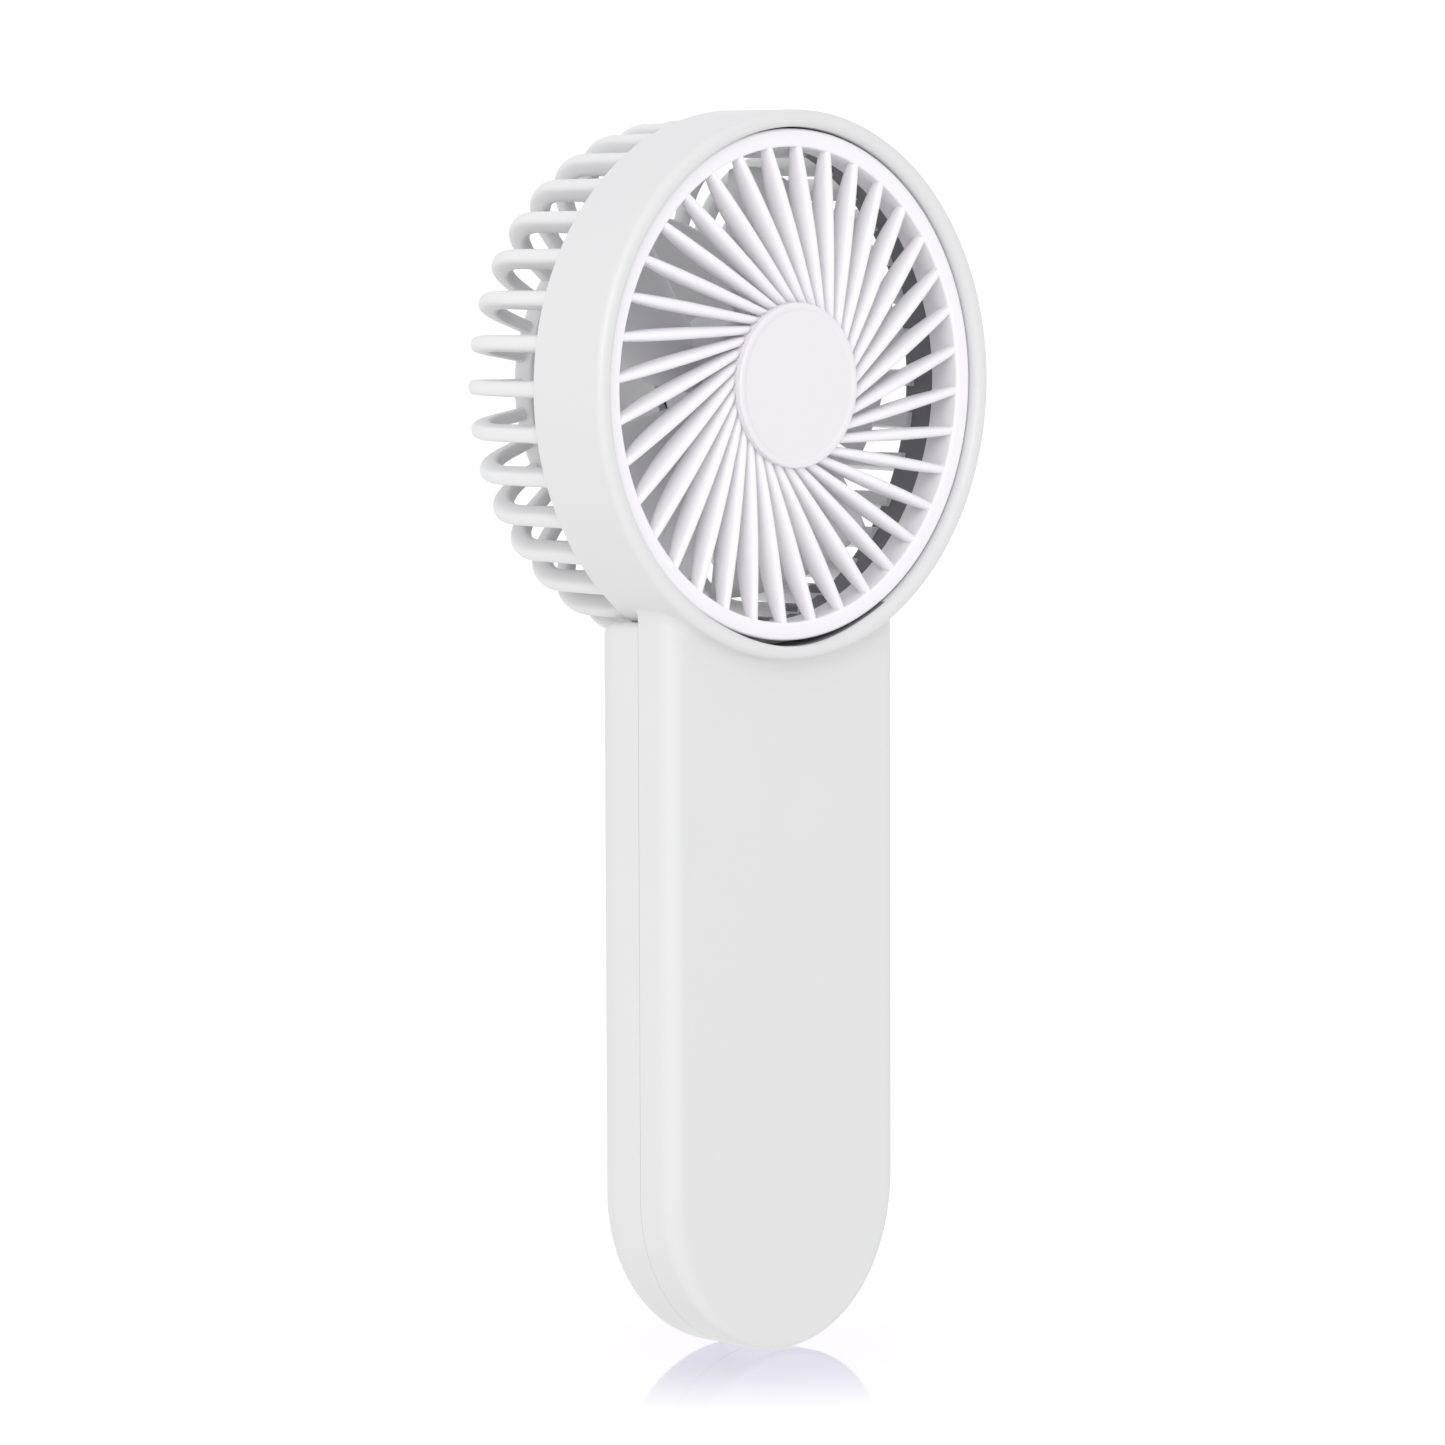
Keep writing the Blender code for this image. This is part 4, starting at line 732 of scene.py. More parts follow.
def picks_painted_shade(face):
    """Whether a face takes the painted shade: on the wall round the impeller, or in the notch, and
    facing the axis.
    """
    away = Vector((face.center.x, face.center.z - AXIS_HEIGHT))
    depth = face.center.y - LIP_CREST
    inward = away.dot(Vector((face.normal.x, face.normal.z))) < -0.5 * away.length
    off_bottom = abs(atan2(away.x, -away.y))
    in_notch = off_bottom < NOTCH_SHADE_SPAN and NOTCH_SHADE_FROM < depth < RING_REAR
    in_duct = GRILLE_REAR < depth < RING_REAR - SHADE_END
    near_wall = SHADE_LEAST_RADIUS < away.length < HEAD_RADIUS
    return inward and near_wall and (in_duct or in_notch)


# Steps round a quarter bend and across half the face, and rows round the handle's end
BEND_STEPS = 12
FACE_STEPS = 12
END_STEPS = 64
GUARD = 1.15
SUNK = 0.35 * MM


def front_columns(sizes, bend):
    """(inset, depth, sideways, forwards) across half the front moulding, from the seam inwards.

    Inset is from the handle's side, and sideways and forwards give the way the surface faces.
    """
    seam = COVER_FRONT - sizes.seam
    edge = sizes.seam_round
    face = sizes.face_setback
    side = [(edge, seam), (0.3 * edge, seam - 0.3 * edge), (0.0, seam - edge),
            (0.0, seam - 1.6 * edge), (0.0, face + 1.2 * bend)]
    columns = [(inset, depth, 1.0, 0.0) for inset, depth in side]
    for step in range(BEND_STEPS + 1):
        angle = pi / 2 * step / BEND_STEPS
        columns.append((bend * (1 - cos(angle)), face + bend * (1 - sin(angle)),
                        cos(angle), sin(angle)))
    flat = HANDLE_HALF - GUARD * bend
    for step in range(FACE_STEPS + 1):
        columns.append((GUARD * bend + flat * step / FACE_STEPS, face, 0.0, 1.0))
    return columns


def front_handle(shape, sizes):
    """The handle's front surface, its upper end swept forwards into the ring."""
    centre = sizes.bottom_rise - AXIS_HEIGHT
    rows = []
    for step in range(END_STEPS + 1):
        angle = pi + pi * step / END_STEPS
        sideways = cos(angle) ** 4
        size = sizes.toe_round + (sizes.front_round - sizes.toe_round) * sideways
        bend = GUARD * size
        row = []
        for inset, depth, _, _ in front_columns(sizes, size):
            share = (HANDLE_HALF - inset) / (HANDLE_HALF - bend)
            half, reach = HANDLE_HALF - inset, sizes.bottom_rise - inset
            if inset >= bend:
                half, reach = share * (HANDLE_HALF - bend), share * (sizes.bottom_rise - bend)
            row.append(shape.verts.new(
                at(half * cos(angle), depth, centre + reach * sin(angle))))
        rows.append(row)
    skin(shape, rows, closed=False)
    columns = front_columns(sizes, sizes.front_round)
    across = [(-1.0, column) for column in columns] + [(1.0, column) for column in columns[-2::-1]]
    places = [[upright_point(side, column, share, sizes) for side, column in across]
              for share in (0.0, 0.35, 0.7)]
    places += [[neck_point(side, column, step / BEND_STEPS, sizes) for side, column in across]
               for step in range(BEND_STEPS + 1)]
    places.append([neck_point(side, column, 1.0, sizes, SUNK) for side, column in across])
    skin(shape, [[shape.verts.new(place) for place in row] for row in places], closed=False)


def upright_point(side, column, share, sizes):
    """A point part of the way up the handle's straight stretch."""
    inset, depth, _, _ = column
    low = sizes.bottom_rise - AXIS_HEIGHT
    high = neck_point(side, column, 0.0, sizes).z - AXIS_HEIGHT
    return at(side * (HANDLE_HALF - inset), depth, low + (high - low) * share)


def neck_point(side, column, share, sizes, sunk=0.0):
    """A point on the neck's hollow rounding, from the handle (share 0) to the ring (share 1)."""
    inset, depth, sideways, forwards = column
    x = HANDLE_HALF - inset
    drop = sqrt(HEAD_RADIUS ** 2 - x ** 2)
    meet = acos(sideways * x / HEAD_RADIUS)
    size = sizes.neck_fillet
    bend = meet * share
    short_of = size * tan(meet / 2) - size * sin(bend)
    rise = -drop - short_of * sin(meet) * HEAD_RADIUS / drop
    out = size * (1 - cos(bend))
    x += sideways * out
    if sunk:
        shrink = (HEAD_RADIUS - sunk) / sqrt(x ** 2 + rise ** 2)
        x *= shrink
        rise *= shrink
    return at(side * x, depth - forwards * out, rise)


def front_housing():
    """Ring with a rounded lip, and the handle's front half flowing out of it."""
    sizes = bpy.context.scene.fan_housing
    lip = HEAD_RADIUS - sizes.lip_width
    bore = HEAD_RADIUS - sizes.wall
    ring = turned_piece("ring", [soften([
        (HEAD_RADIUS, 0.0, sizes.lip_round),
        (HEAD_RADIUS, RING_REAR, 0.25 * MM),
        (bore, RING_REAR, 0.25 * MM),
        (bore, sizes.seat_depth, CRISP),
        (lip, sizes.seat_depth, FINE),
        (lip, 0.0, 0.9 * sizes.lip_round),
    ], closed=True, steps=8)], steps=240)
    for point in ring.data.vertices:  # the finger notch widens the ledge at its bottom
        x, rise = point.co.x, point.co.z - AXIS_HEIGHT
        if sqrt(x ** 2 + rise ** 2) < lip + 0.5 * MM and point.co.y - LIP_CREST < sizes.seat_depth:
            off_bottom = min(1.0, abs(atan2(x, -rise)) / sizes.notch_span)
            grow = 1 + sizes.notch * cos(off_bottom * pi / 2) ** 2 / lip
            point.co.x, point.co.z = x * grow, AXIS_HEIGHT + rise * grow
    shape = bmesh.new()
    front_handle(shape, sizes)
    handle = thickened(shown(as_mesh(shape, "handle"), "handle"), 0.75 * sizes.wall)
    ring.name = "front_shell"
    # The ring's inner wall and notch take painted shade.
    mounted(joined(ring, [handle]), "housing", ["front_housing"], "housing_plastic",
            shade_faces=picks_painted_shade)


def cover_outline(inset, top_inset, sizes, steps=48, corner_steps=8, top_steps=20):
    """The back cover from the front: round bottom, straight sides, hollow top round the head."""
    half = HANDLE_HALF - inset
    reach = sizes.bottom_rise - inset
    centre = sizes.bottom_rise - AXIS_HEIGHT
    top = HEAD_RADIUS + sizes.clearance + top_inset
    corner = sizes.ledge_corner
    points = []
    for step in range(steps + 1):
        angle = pi + pi * step / steps
        points.append((half * cos(angle), centre + reach * sin(angle)))
    x = half - corner
    drop = sqrt((top + corner) ** 2 - x ** 2)
    last = pi - atan2(drop, x)
    turns = [last * n / corner_steps for n in range(corner_steps + 1)]
    right = [(x + corner * cos(turned), -drop + corner * sin(turned)) for turned in turns]
    lean = atan2(x, drop)
    leans = [lean * (1 - n / top_steps) for n in range(1, 2 * top_steps)]
    over = [(top * sin(leaning), -top * cos(leaning)) for leaning in leans]
    left = [(-px, rise) for px, rise in reversed(right)]
    return points + right + over + left


def back_cover(steps=18):
    """Tub that closes the handle from behind, with its screw, button, light and port holes."""
    sizes = bpy.context.scene.fan_housing
    edge = sizes.seam_round
    sections = [(COVER_FRONT, edge, edge), (COVER_FRONT + 0.3 * edge, 0.3 * edge, 0.3 * edge),
                (COVER_FRONT + edge, 0.0, 0.0), (COVER_FRONT + 1.6 * edge, 0.0, 0.0),
                (HANDLE_REAR - 1.1 * sizes.back_round, 0.0, 0.0)]
    for step in range(steps + 1):
        angle = pi / 2 * step / steps
        depth = HANDLE_REAR - sizes.back_round * (1 - sin(angle))
        over = max(0.0, depth - (HANDLE_REAR - sizes.ledge_round))
        top = sizes.ledge_round - sqrt(max(0.0, sizes.ledge_round ** 2 - over ** 2))
        sections.append((depth, sizes.back_round * (1 - cos(angle)), top))
    sections.append((HANDLE_REAR, sizes.back_round * 1.08, sizes.ledge_round * 1.4))
    shape = bmesh.new()
    rings = [[shape.verts.new(at(x, depth, rise)) for x, rise in cover_outline(inset, top, sizes)]
             for depth, inset, top in sections]
    skin(shape, rings)
    shape.faces.new(rings[-1])
    cover = thickened(shown(as_mesh(shape, "back_cover_shell"), "back_cover_shell"), sizes.wall)
    carved(cover, cover_cutters(sizes))
    mounted(cover, "housing", ["back_cover"], "housing_plastic")


LIGHT_HOLE = 1.1 * MM
HOLE_FLARE = 0.25 * MM
PORT_FLARE = 0.35 * MM


def cover_cutters(sizes):
    """Tools for the holes in the back cover."""
    inside = HANDLE_REAR - 2 * sizes.wall
    outside = HANDLE_REAR + MM
    screw = (node_box("case_screw_1", 0, 1) - node_box("case_screw_1", 0, 0)) / 2
    screw += sizes.clearance
    button = node_box("power_button", 0, 1) - 2 * sizes.clearance
    tools = [hole("button_hole", button, inside, outside, (0.0, BUTTON_RISE), 96)]
    for node_name in CASE_SCREWS:
        tools.append(hole("hole_" + node_name, screw, inside, outside, middle_of(node_name), 48))
    for node_name in LIGHTS:
        tools.append(hole("hole_" + node_name, LIGHT_HOLE, inside, outside, middle_of(node_name),
                          32))
    tools.append(pill("port_mouth", PORT_WIDTH + 2 * sizes.clearance,
                      PORT_THICKNESS + 2 * sizes.clearance, HANDLE_HALF - 2 * sizes.wall,
                      HANDLE_HALF + MM, PORT_FLARE))
    return tools


def hole(name, radius, front, rear, place, steps):
    """A cutter for a round hole through the back wall, with a fine chamfer at the surface."""
    wide = radius + 2 * HOLE_FLARE
    return turned_piece(name, [[
        (0.0, front), (radius, front), (radius, HANDLE_REAR - HOLE_FLARE),
        (wide, HANDLE_REAR + HOLE_FLARE), (wide, rear), (0.0, rear),
    ]], steps=steps, centre=place)


def pill(name, width, thickness, x_low, x_high, flare=0.0, steps=32):
    """A closed pill-shaped block along X at the charging port, widening near its outer end."""
    shape = bmesh.new()
    straight = (width - thickness) / 2
    stops = [(x_low, 0.0), (x_high, 0.0)]
    if flare:
        stops = [(x_low, 0.0), (x_high - 1.0 * MM - flare, 0.0),
                 (x_high - 1.0 * MM + flare, 2 * flare), (x_high, 2 * flare)]
    rings = []
    for x, grow in stops:
        radius = thickness / 2 + grow
        angles = [-pi / 2 + pi * step / steps for step in range(steps + 1)]
        ring = [(radius * sin(angle), straight + radius * cos(angle)) for angle in angles]
        ring += [(-depth, -rise) for depth, rise in ring]
        rings.append([shape.verts.new(at(x, PORT_DEPTH + depth, PORT_RISE + rise))
                      for depth, rise in ring])
    capped(shape, rings)
    return shown(as_mesh(shape, name), name)


def block(name, middle, size, spin=0.0):
    """A box about a middle, turned about an axis along Y."""
    shape = bmesh.new()
    turned = Matrix.Translation(middle) @ Matrix.Rotation(spin, 4, "Y")
    bmesh.ops.create_cube(shape, size=1.0, matrix=turned @ Matrix.Diagonal((*size, 1.0)))
    return shown(as_mesh(shape, name), name)


# ---------------------------------------------------------------- grille and cap

ROOTED = 1.2 * MM
LOUVRE_SETBACK = 0.15 * MM
FULLEST = 1.45
SQUARENESS = 0.85
GRILLE_SETBACK = 0.05 * MM
BOSS_DEPTH = 2.9 * MM
BOSS_INSET = 0.4 * MM
BOSS_BORE = 2.8 * MM
CAP_THICKNESS = 1.3 * MM
CAP_SEAT = 1.5 * MM
CAP_PEG = 2.5 * MM


def squared(value):
    """A circle's sine or cosine, pushed out towards a rounded square."""
    return copysign(abs(value) ** SQUARENESS, value)


def louvre(sizes, opening, front, steps=28, sides=20):
    """One leaf-shaped louvre about an axis at height 0, fullest past its middle."""
    tilt = Matrix.Rotation(-asin(sizes.offset / opening), 2)
    across = tilt @ Vector((0.0, 1.0))
    root = sqrt((CAP_RADIUS - ROOTED) ** 2 - sizes.offset ** 2)
    tip = sqrt((opening + ROOTED) ** 2 - sizes.offset ** 2)
    shape = bmesh.new()
    rings = []
    for step in range(steps + 1):
        share = step / steps
        fullness = sin(pi * share ** FULLEST)
        width = (sizes.root_width + (sizes.tip_width - sizes.root_width) * share
                 + sizes.swell * fullness)
        deep = (sizes.root_depth + (sizes.tip_depth - sizes.root_depth) * share
                + sizes.keel * fullness)
        middle = tilt @ Vector((root + (tip - root) * share, sizes.offset))
        depth = front + LOUVRE_SETBACK - sizes.crown * sin(pi * share) + deep / 2
        ring = []
        for corner in range(sides):
            angle = 2 * pi * corner / sides
            place = middle + across * (squared(cos(angle)) * width / 2)
            back = squared(sin(angle)) * deep / 2
            ring.append(shape.verts.new((-place.x, LIP_CREST + depth + back, place.y)))
        rings.append(ring)
    capped(shape, rings)
    return shown(as_mesh(shape, "louvres"), "louvres")


def front_grille():
    """Rim, swirling louvres and the boss behind the cap, in one bright moulding."""
    sizes = bpy.context.scene.fan_grille
    opening = GRILLE_RADIUS - sizes.rim_width
    front = GRILLE_FRONT + GRILLE_SETBACK
    boss = CAP_RADIUS - BOSS_INSET
    boss_front, boss_rear = CAP_FRONT + CAP_SEAT, GRILLE_FRONT + BOSS_DEPTH
    grille = turned_piece("grille_face", [
        soften([
            (GRILLE_RADIUS, front, sizes.rim_round),
            (GRILLE_RADIUS, GRILLE_REAR, FINE),
            (opening, GRILLE_REAR, FINE),
            (opening, front, sizes.rim_round),
        ], closed=True),
        soften([
            (boss, boss_front, FINE),
            (boss, boss_rear, 0.4 * MM),
            (BOSS_BORE, boss_rear, CRISP),
            (BOSS_BORE, boss_front, CRISP),
        ], closed=True),
    ], steps=240)
    louvres = copied_round_axis(louvre(sizes, opening, front), sizes.louvres, sizes.start,
                                "grille_plastic")
    mounted(joined(grille, [louvres]), "housing", ["front_grille"], "grille_plastic", 50)


def grille_cap():
    """Round cap with a raised bead round its edge, and the peg that holds it."""
    sizes = bpy.context.scene.fan_grille
    inner = CAP_RADIUS - sizes.cap_bead
    face = CAP_FRONT + sizes.cap_dish
    back = CAP_FRONT + CAP_THICKNESS
    cap = turned_piece("cap_disc", [soften([
        (0.0, face, 0.0),
        (inner - 0.5 * MM, face, 0.8 * MM),
        (inner, CAP_FRONT, 0.35 * MM),
        (CAP_RADIUS, CAP_FRONT, 0.55 * MM),
        (CAP_RADIUS, back, 0.15 * MM),
        (CAP_PEG, back, FINE),
        (CAP_PEG, CAP_REAR, EDGE),
        (0.0, CAP_REAR, 0.0),
    ])], steps=200)
    mounted(cap, "housing", ["grille_cap"], "cap_plastic")


# ---------------------------------------------------------------- rear cage

COLLAR_INSET = 2.1 * MM
HUB_SETBACK = 0.3 * MM
FLOOR_STEP = 1.3 * MM
SOCKET_DEPTH = 9.8 * MM
SHAFT_ROOM = 2.5 * MM
STEP_FROM_EDGE = 2.2 * MM
STEP_WIDTH = 0.5 * MM


def rib_path(sizes, steps=12):
    """Middle line of a cage rib: back from the collar, round the corner, and in to the hub."""
    thickness = sizes.middle_width * sizes.slimness
    radius = CAGE_RADIUS - thickness / 2
    rear = CAGE_REAR - thickness / 2
    bend = sizes.corner - thickness / 2
    points = [(radius, RING_REAR - sizes.collar_wall), (radius, RING_REAR + 2.0 * MM)]
    for step in range(steps + 1):
        angle = pi / 2 * step / steps
        points.append((radius - bend + bend * cos(angle), rear - bend + bend * sin(angle)))
    points.append((sizes.hub_radius - MM, rear - 0.1 * MM))
    return [(-reach, depth, 0.0) for reach, depth in points]


def cage_ribs(sizes):
    """Swept ribs repeated round the fan's axis, as one object."""
    bar = shown(path("ribs", rib_path(sizes)), "ribs")
    mesh = grown(bar, "swept_bar", root_width=sizes.root_width, middle_width=sizes.middle_width,
                 tip_width=sizes.tip_width, slimness=sizes.slimness, rounding=sizes.rounding,
                 rounding_steps=4, material=finish("cage_plastic"))
    bpy.data.objects.remove(bar)
    return copied_round_axis(shown(mesh, "ribs"), sizes.ribs, 0.0, "cage_plastic")


def rear_cage():
    """Collar, rounded ribs, hub plate and the motor's socket, in one moulding."""
    sizes = bpy.context.scene.fan_cage
    collar = HEAD_RADIUS - COLLAR_INSET
    hub_rear = CAGE_REAR - HUB_SETBACK
    hub_front = hub_rear - sizes.hub_thickness
    recess = HUB_COVER_RADIUS + LOOSE
    ledge = recess - 2.1 * MM
    seat = HUB_COVER_FRONT - LOOSE
    floor_depth = seat - FLOOR_STEP
    socket = MOTOR_RADIUS + LOOSE
    socket_outside = socket + sizes.socket_wall
    socket_front = MOTOR_REAR - SOCKET_DEPTH
    hole_radius = MOTOR_RADIUS - SHAFT_ROOM
    cage = turned_piece("cage_shell", [
        soften([
            (collar, CAGE_FRONT, EDGE),
            (collar, RING_REAR, EDGE),
            (collar - sizes.collar_wall, RING_REAR, 0.5 * MM),
            (collar - sizes.collar_wall, CAGE_FRONT, EDGE),
        ], closed=True),
        soften([
            (socket_outside, socket_front, EDGE),
            (socket_outside, hub_front, 0.8 * MM),
            (sizes.hub_radius, hub_front, 0.6 * MM),
            (sizes.hub_radius, hub_rear, 0.8 * MM),
            (recess, hub_rear, FINE),
            (recess, seat, CRISP),
            (ledge, seat, CRISP),
            (ledge, floor_depth, CRISP),
            (hole_radius, floor_depth, CRISP),
            (hole_radius, hub_front, CRISP),
            (socket, hub_front, CRISP),
            (socket, socket_front, EDGE),
        ], closed=True),
    ], steps=200)
    # The collar's inner faces take painted shade.
    mounted(joined(cage, [cage_ribs(sizes)]), "housing", ["rear_cage"], "cage_plastic", 50,
            picks_painted_shade)


def rear_hub_cover():
    """Disc that closes the motor's pocket, with a shallow turned step."""
    edge = HUB_COVER_RADIUS
    step = edge - STEP_FROM_EDGE
    cover = turned_piece("hub_cover_disc", [soften([
        (0.0, HUB_COVER_FRONT, 0.0),
        (edge, HUB_COVER_FRONT, 0.15 * MM),
        (edge, CAGE_REAR, 0.5 * MM),
        (step, CAGE_REAR, EDGE),
        (step - STEP_WIDTH, CAGE_REAR - HUB_SETBACK, EDGE),
        (0.0, CAGE_REAR - HUB_SETBACK, 0.0),
    ])], steps=160)
    mounted(cover, "housing", ["rear_hub_cover"], "cage_plastic")


# ---------------------------------------------------------------- impeller

BLADE_FRONT_GAP = 1.6 * MM
BLADE_REAR_GAP = 1.0 * MM
BLADE_MERGE = 0.004 * MM
TIP_ROUNDED = 0.04
SOCKET_RADIUS = 3.2 * MM
SHAFT_RADIUS = 1.3 * MM
SHAFT_GRIP = 6.0 * MM


def blade(sizes, across=28, along=20):
    """One curved blade about an axis at height 0, rounded at its edges and tip."""
    shape = bmesh.new()
    root = sizes.hub_radius - 0.5 * sizes.wall
    front = IMPELLER_FRONT + BLADE_FRONT_GAP
    rear = IMPELLER_REAR - BLADE_REAR_GAP
    sides = {1: [], -1: []}
    for i in range(along + 1):
        share = i / along
        radius = root + (sizes.tip_radius - root) * share
        span = sizes.root_span + (sizes.tip_span - sizes.root_span) * share
        start = sizes.start + sizes.sweep * share
        past = max(0.0, (share - (1 - TIP_ROUNDED)) / TIP_ROUNDED)
        tip_fade = sqrt(max(0.0, 1 - past ** 2))
        slope = (rear - front) / (radius * span)
        lean = 1 / sqrt(1 + slope ** 2)
        for side in sides:
            row = []
            for j in range(across + 1):
                part = j / across
                edge_fade = sqrt(max(0.0, 1 - abs(2 * part - 1) ** 8))
                lift = side * sizes.thickness / 2 * edge_fade * tip_fade
                angle = start + span * part - lift * slope * lean / radius
                depth = front + (rear - front) * part + lift * lean
                row.append(shape.verts.new(
                    (-radius * cos(angle), LIP_CREST + depth, radius * sin(angle))))
            sides[side].append(row)
    for rows in [*sides.values(), [sides[1][0], sides[-1][0]]]:
        skin(shape, rows, closed=False)
    return shown(as_mesh(shape, "blade", BLADE_MERGE), "blade")


def impeller():
    """Domed hub cup and its blades."""
    sizes = bpy.context.scene.fan_impeller
    cup = sizes.hub_radius - sizes.wall
    inside = IMPELLER_FRONT + 2 * sizes.wall
    blades = copied_round_axis(blade(sizes), sizes.blades, 0.0, "impeller_plastic")
    hub = turned_piece("impeller_fine", [soften([
        (0.0, IMPELLER_FRONT, 0.0),
        (0.55 * sizes.hub_radius, IMPELLER_FRONT + 0.1 * MM, 4.0 * MM),
        (sizes.hub_radius, IMPELLER_FRONT + 1.1 * MM, 1.8 * MM),
        (sizes.hub_radius, IMPELLER_REAR, 0.4 * MM),
        (cup, IMPELLER_REAR, EDGE),
        (cup, inside, 0.6 * MM),
        (SOCKET_RADIUS, inside, EDGE),
        (SOCKET_RADIUS, inside + SHAFT_GRIP, FINE),
        (SHAFT_RADIUS, inside + SHAFT_GRIP, CRISP),
        (SHAFT_RADIUS, inside, CRISP),
        (0.0, inside, 0.0),
    ], steps=6)], steps=120)
    mounted(joined(hub, [blades]), "rotor", ["impeller"], "impeller_plastic", 50)


# ---------------------------------------------------------------- handle details

FLANGE_WIDTH = 0.9 * MM
FLANGE_THICKNESS = 1.0 * MM
DISH = 0.4 * MM
PIN_RADIUS = 0.8 * MM
PORT_WALL = 0.35 * MM
PORT_FLOOR = 0.9 * MM
HEAD_THICKNESS = 1.3 * MM
SHANK_RADIUS = 0.9 * MM
POINT_LENGTH = 0.8 * MM
CROSS = (2.1 * MM, 1.4 * MM, 0.42 * MM)


def bevelled(made, width, angle=radians(30)):
    """Round an object's edges with a live bevel of three segments."""
    edges = made.modifiers.new("edges", "BEVEL")
    edges.width = width
    edges.segments = 3
    edges.angle_limit = angle


def power_button():
    """Round key with a shallow finger dish."""
    flange = node_box("power_button", 0, 1)
    shoulder = BUTTON_FRONT + FLANGE_THICKNESS
    radius = flange - FLANGE_WIDTH
    button = turned_piece("button_key", [soften([
        (0.0, BUTTON_FRONT, 0.0),
        (flange, BUTTON_FRONT, CRISP),
        (flange, shoulder, CRISP),
        (radius, shoulder, CRISP),
        (radius, BUTTON_REAR, 0.5 * MM),
        (0.72 * radius, BUTTON_REAR, 0.8 * MM),
        (0.5 * radius, BUTTON_REAR - 0.35 * MM, 1.5 * MM),
        (0.0, BUTTON_REAR - DISH, 0.0),
    ])], steps=96, centre=(0.0, BUTTON_RISE))
    mounted(button, "button", ["power_button"], "button_plastic")


def light_pins():
    """The light bar inside and its four pins, whose domed ends show in the back wall."""
    sunk = GUIDE_FRONT + 0.5 * MM
    pins = turned_piece("light_pins", [soften([
        (0.0, sunk, 0.0),
        (PIN_RADIUS, sunk, CRISP),
        (PIN_RADIUS, GUIDE_REAR, 0.35 * MM),
        (0.0, GUIDE_REAR, 0.0),
    ])], steps=32)
    copied_to(pins, LIGHTS, "clear_plastic")
    low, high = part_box("light_guide")
    middle = at((low.x + high.x) / 2, GUIDE_FRONT + MM / 2, middle_of("led_1")[1])
    bar = block("light_bar", middle, (high.x - low.x, MM, high.z - low.z))
    bevelled(bar, 0.15 * MM)
    settled(bar)
    mounted(joined(pins, [bar]), "housing", ["light_guide"], "clear_plastic")


def charging_port():
    """Rolled steel shell of the charging port."""
    low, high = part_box("usb_shell")
    shell = pill("port_shell", PORT_WIDTH, PORT_THICKNESS, low.x, high.x)
    bevelled(shell, 0.12 * MM, radians(60))
    carved(shell, [pill("port_hollow", PORT_WIDTH - 2 * PORT_WALL, PORT_THICKNESS - 2 * PORT_WALL,
                        low.x + PORT_FLOOR, high.x + MM)])
    mounted(shell, "housing", ["usb_shell"], "steel")


def case_screws():
    """Case screws with a cross recess, sunk in the back cover."""
    low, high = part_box(CASE_SCREWS[0])
    radius = (high.x - low.x) / 2
    front, rear = depths_of(CASE_SCREWS[0])
    under_head = rear - HEAD_THICKNESS
    screw = turned_piece("case_screws", [soften([
        (0.0, rear, 0.0),
        (0.6 * radius, rear, 0.8 * MM),
        (radius, rear - 0.4 * MM, 0.35 * MM),
        (radius, under_head, CRISP),
        (SHANK_RADIUS, under_head, CRISP),
        (SHANK_RADIUS, front + POINT_LENGTH, CRISP),
        (0.0, front, 0.0),
    ])], steps=48)
    carved(screw, [block("slot", at(0.0, rear, 0.0), CROSS, spin) for spin in (0.0, pi / 2)])
    copied_to(screw, CASE_SCREWS, "screw_steel")
    mounted(screw, "housing", CASE_SCREWS, "screw_steel")


def inner_parts():
    """Gives every CAD node that stays its finish from the record."""
    stand_ins = {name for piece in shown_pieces() for name in piece.get("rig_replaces", [])}
    for subpart in frame["record"]["subparts"]:
        kept = frame["nodes"].get(subpart["node"])
        if kept is not None and subpart["node"] not in stand_ins:
            kept.data.materials.clear()
            kept.data.materials.append(finish(subpart["material_slot"]))


# ---------------------------------------------------------------- stage

def white_where_seen(tree, strength):
    """The plain background's strength where it is seen or mirrored, and the given one elsewhere."""
    ray = node(tree, "ShaderNodeLightPath").outputs
    plain = node(tree, "ShaderNodeMath", {
        0: ray["Is Camera Ray"], 1: ray["Is Glossy Ray"],
    }, operation="MAXIMUM")
    background = bpy.context.scene.fan_stage.background
    return node(tree, "ShaderNodeMix", {
        0: plain.outputs[0], 2: strength, 3: background,
    }).outputs[0]


# The floor's gloss: its strongest share, where it starts to fade from the foot, and where it ends
GLOSS_SHARE = 0.75
GLOSS_FULL_TO = 12 * MM
GLOSS_ENDS_AT = 86 * MM
GLOSS_ROUGHNESS = 0.06
FLOOR_DROP = 0.1 * MM

# The surround is stronger from this way, by this share
SURROUND_FROM = (-0.95, 0.0, -0.3)
SURROUND_SWING = 0.12
LAMP_DISTANCE = 1.6
LAMP_SIZE = 1.0


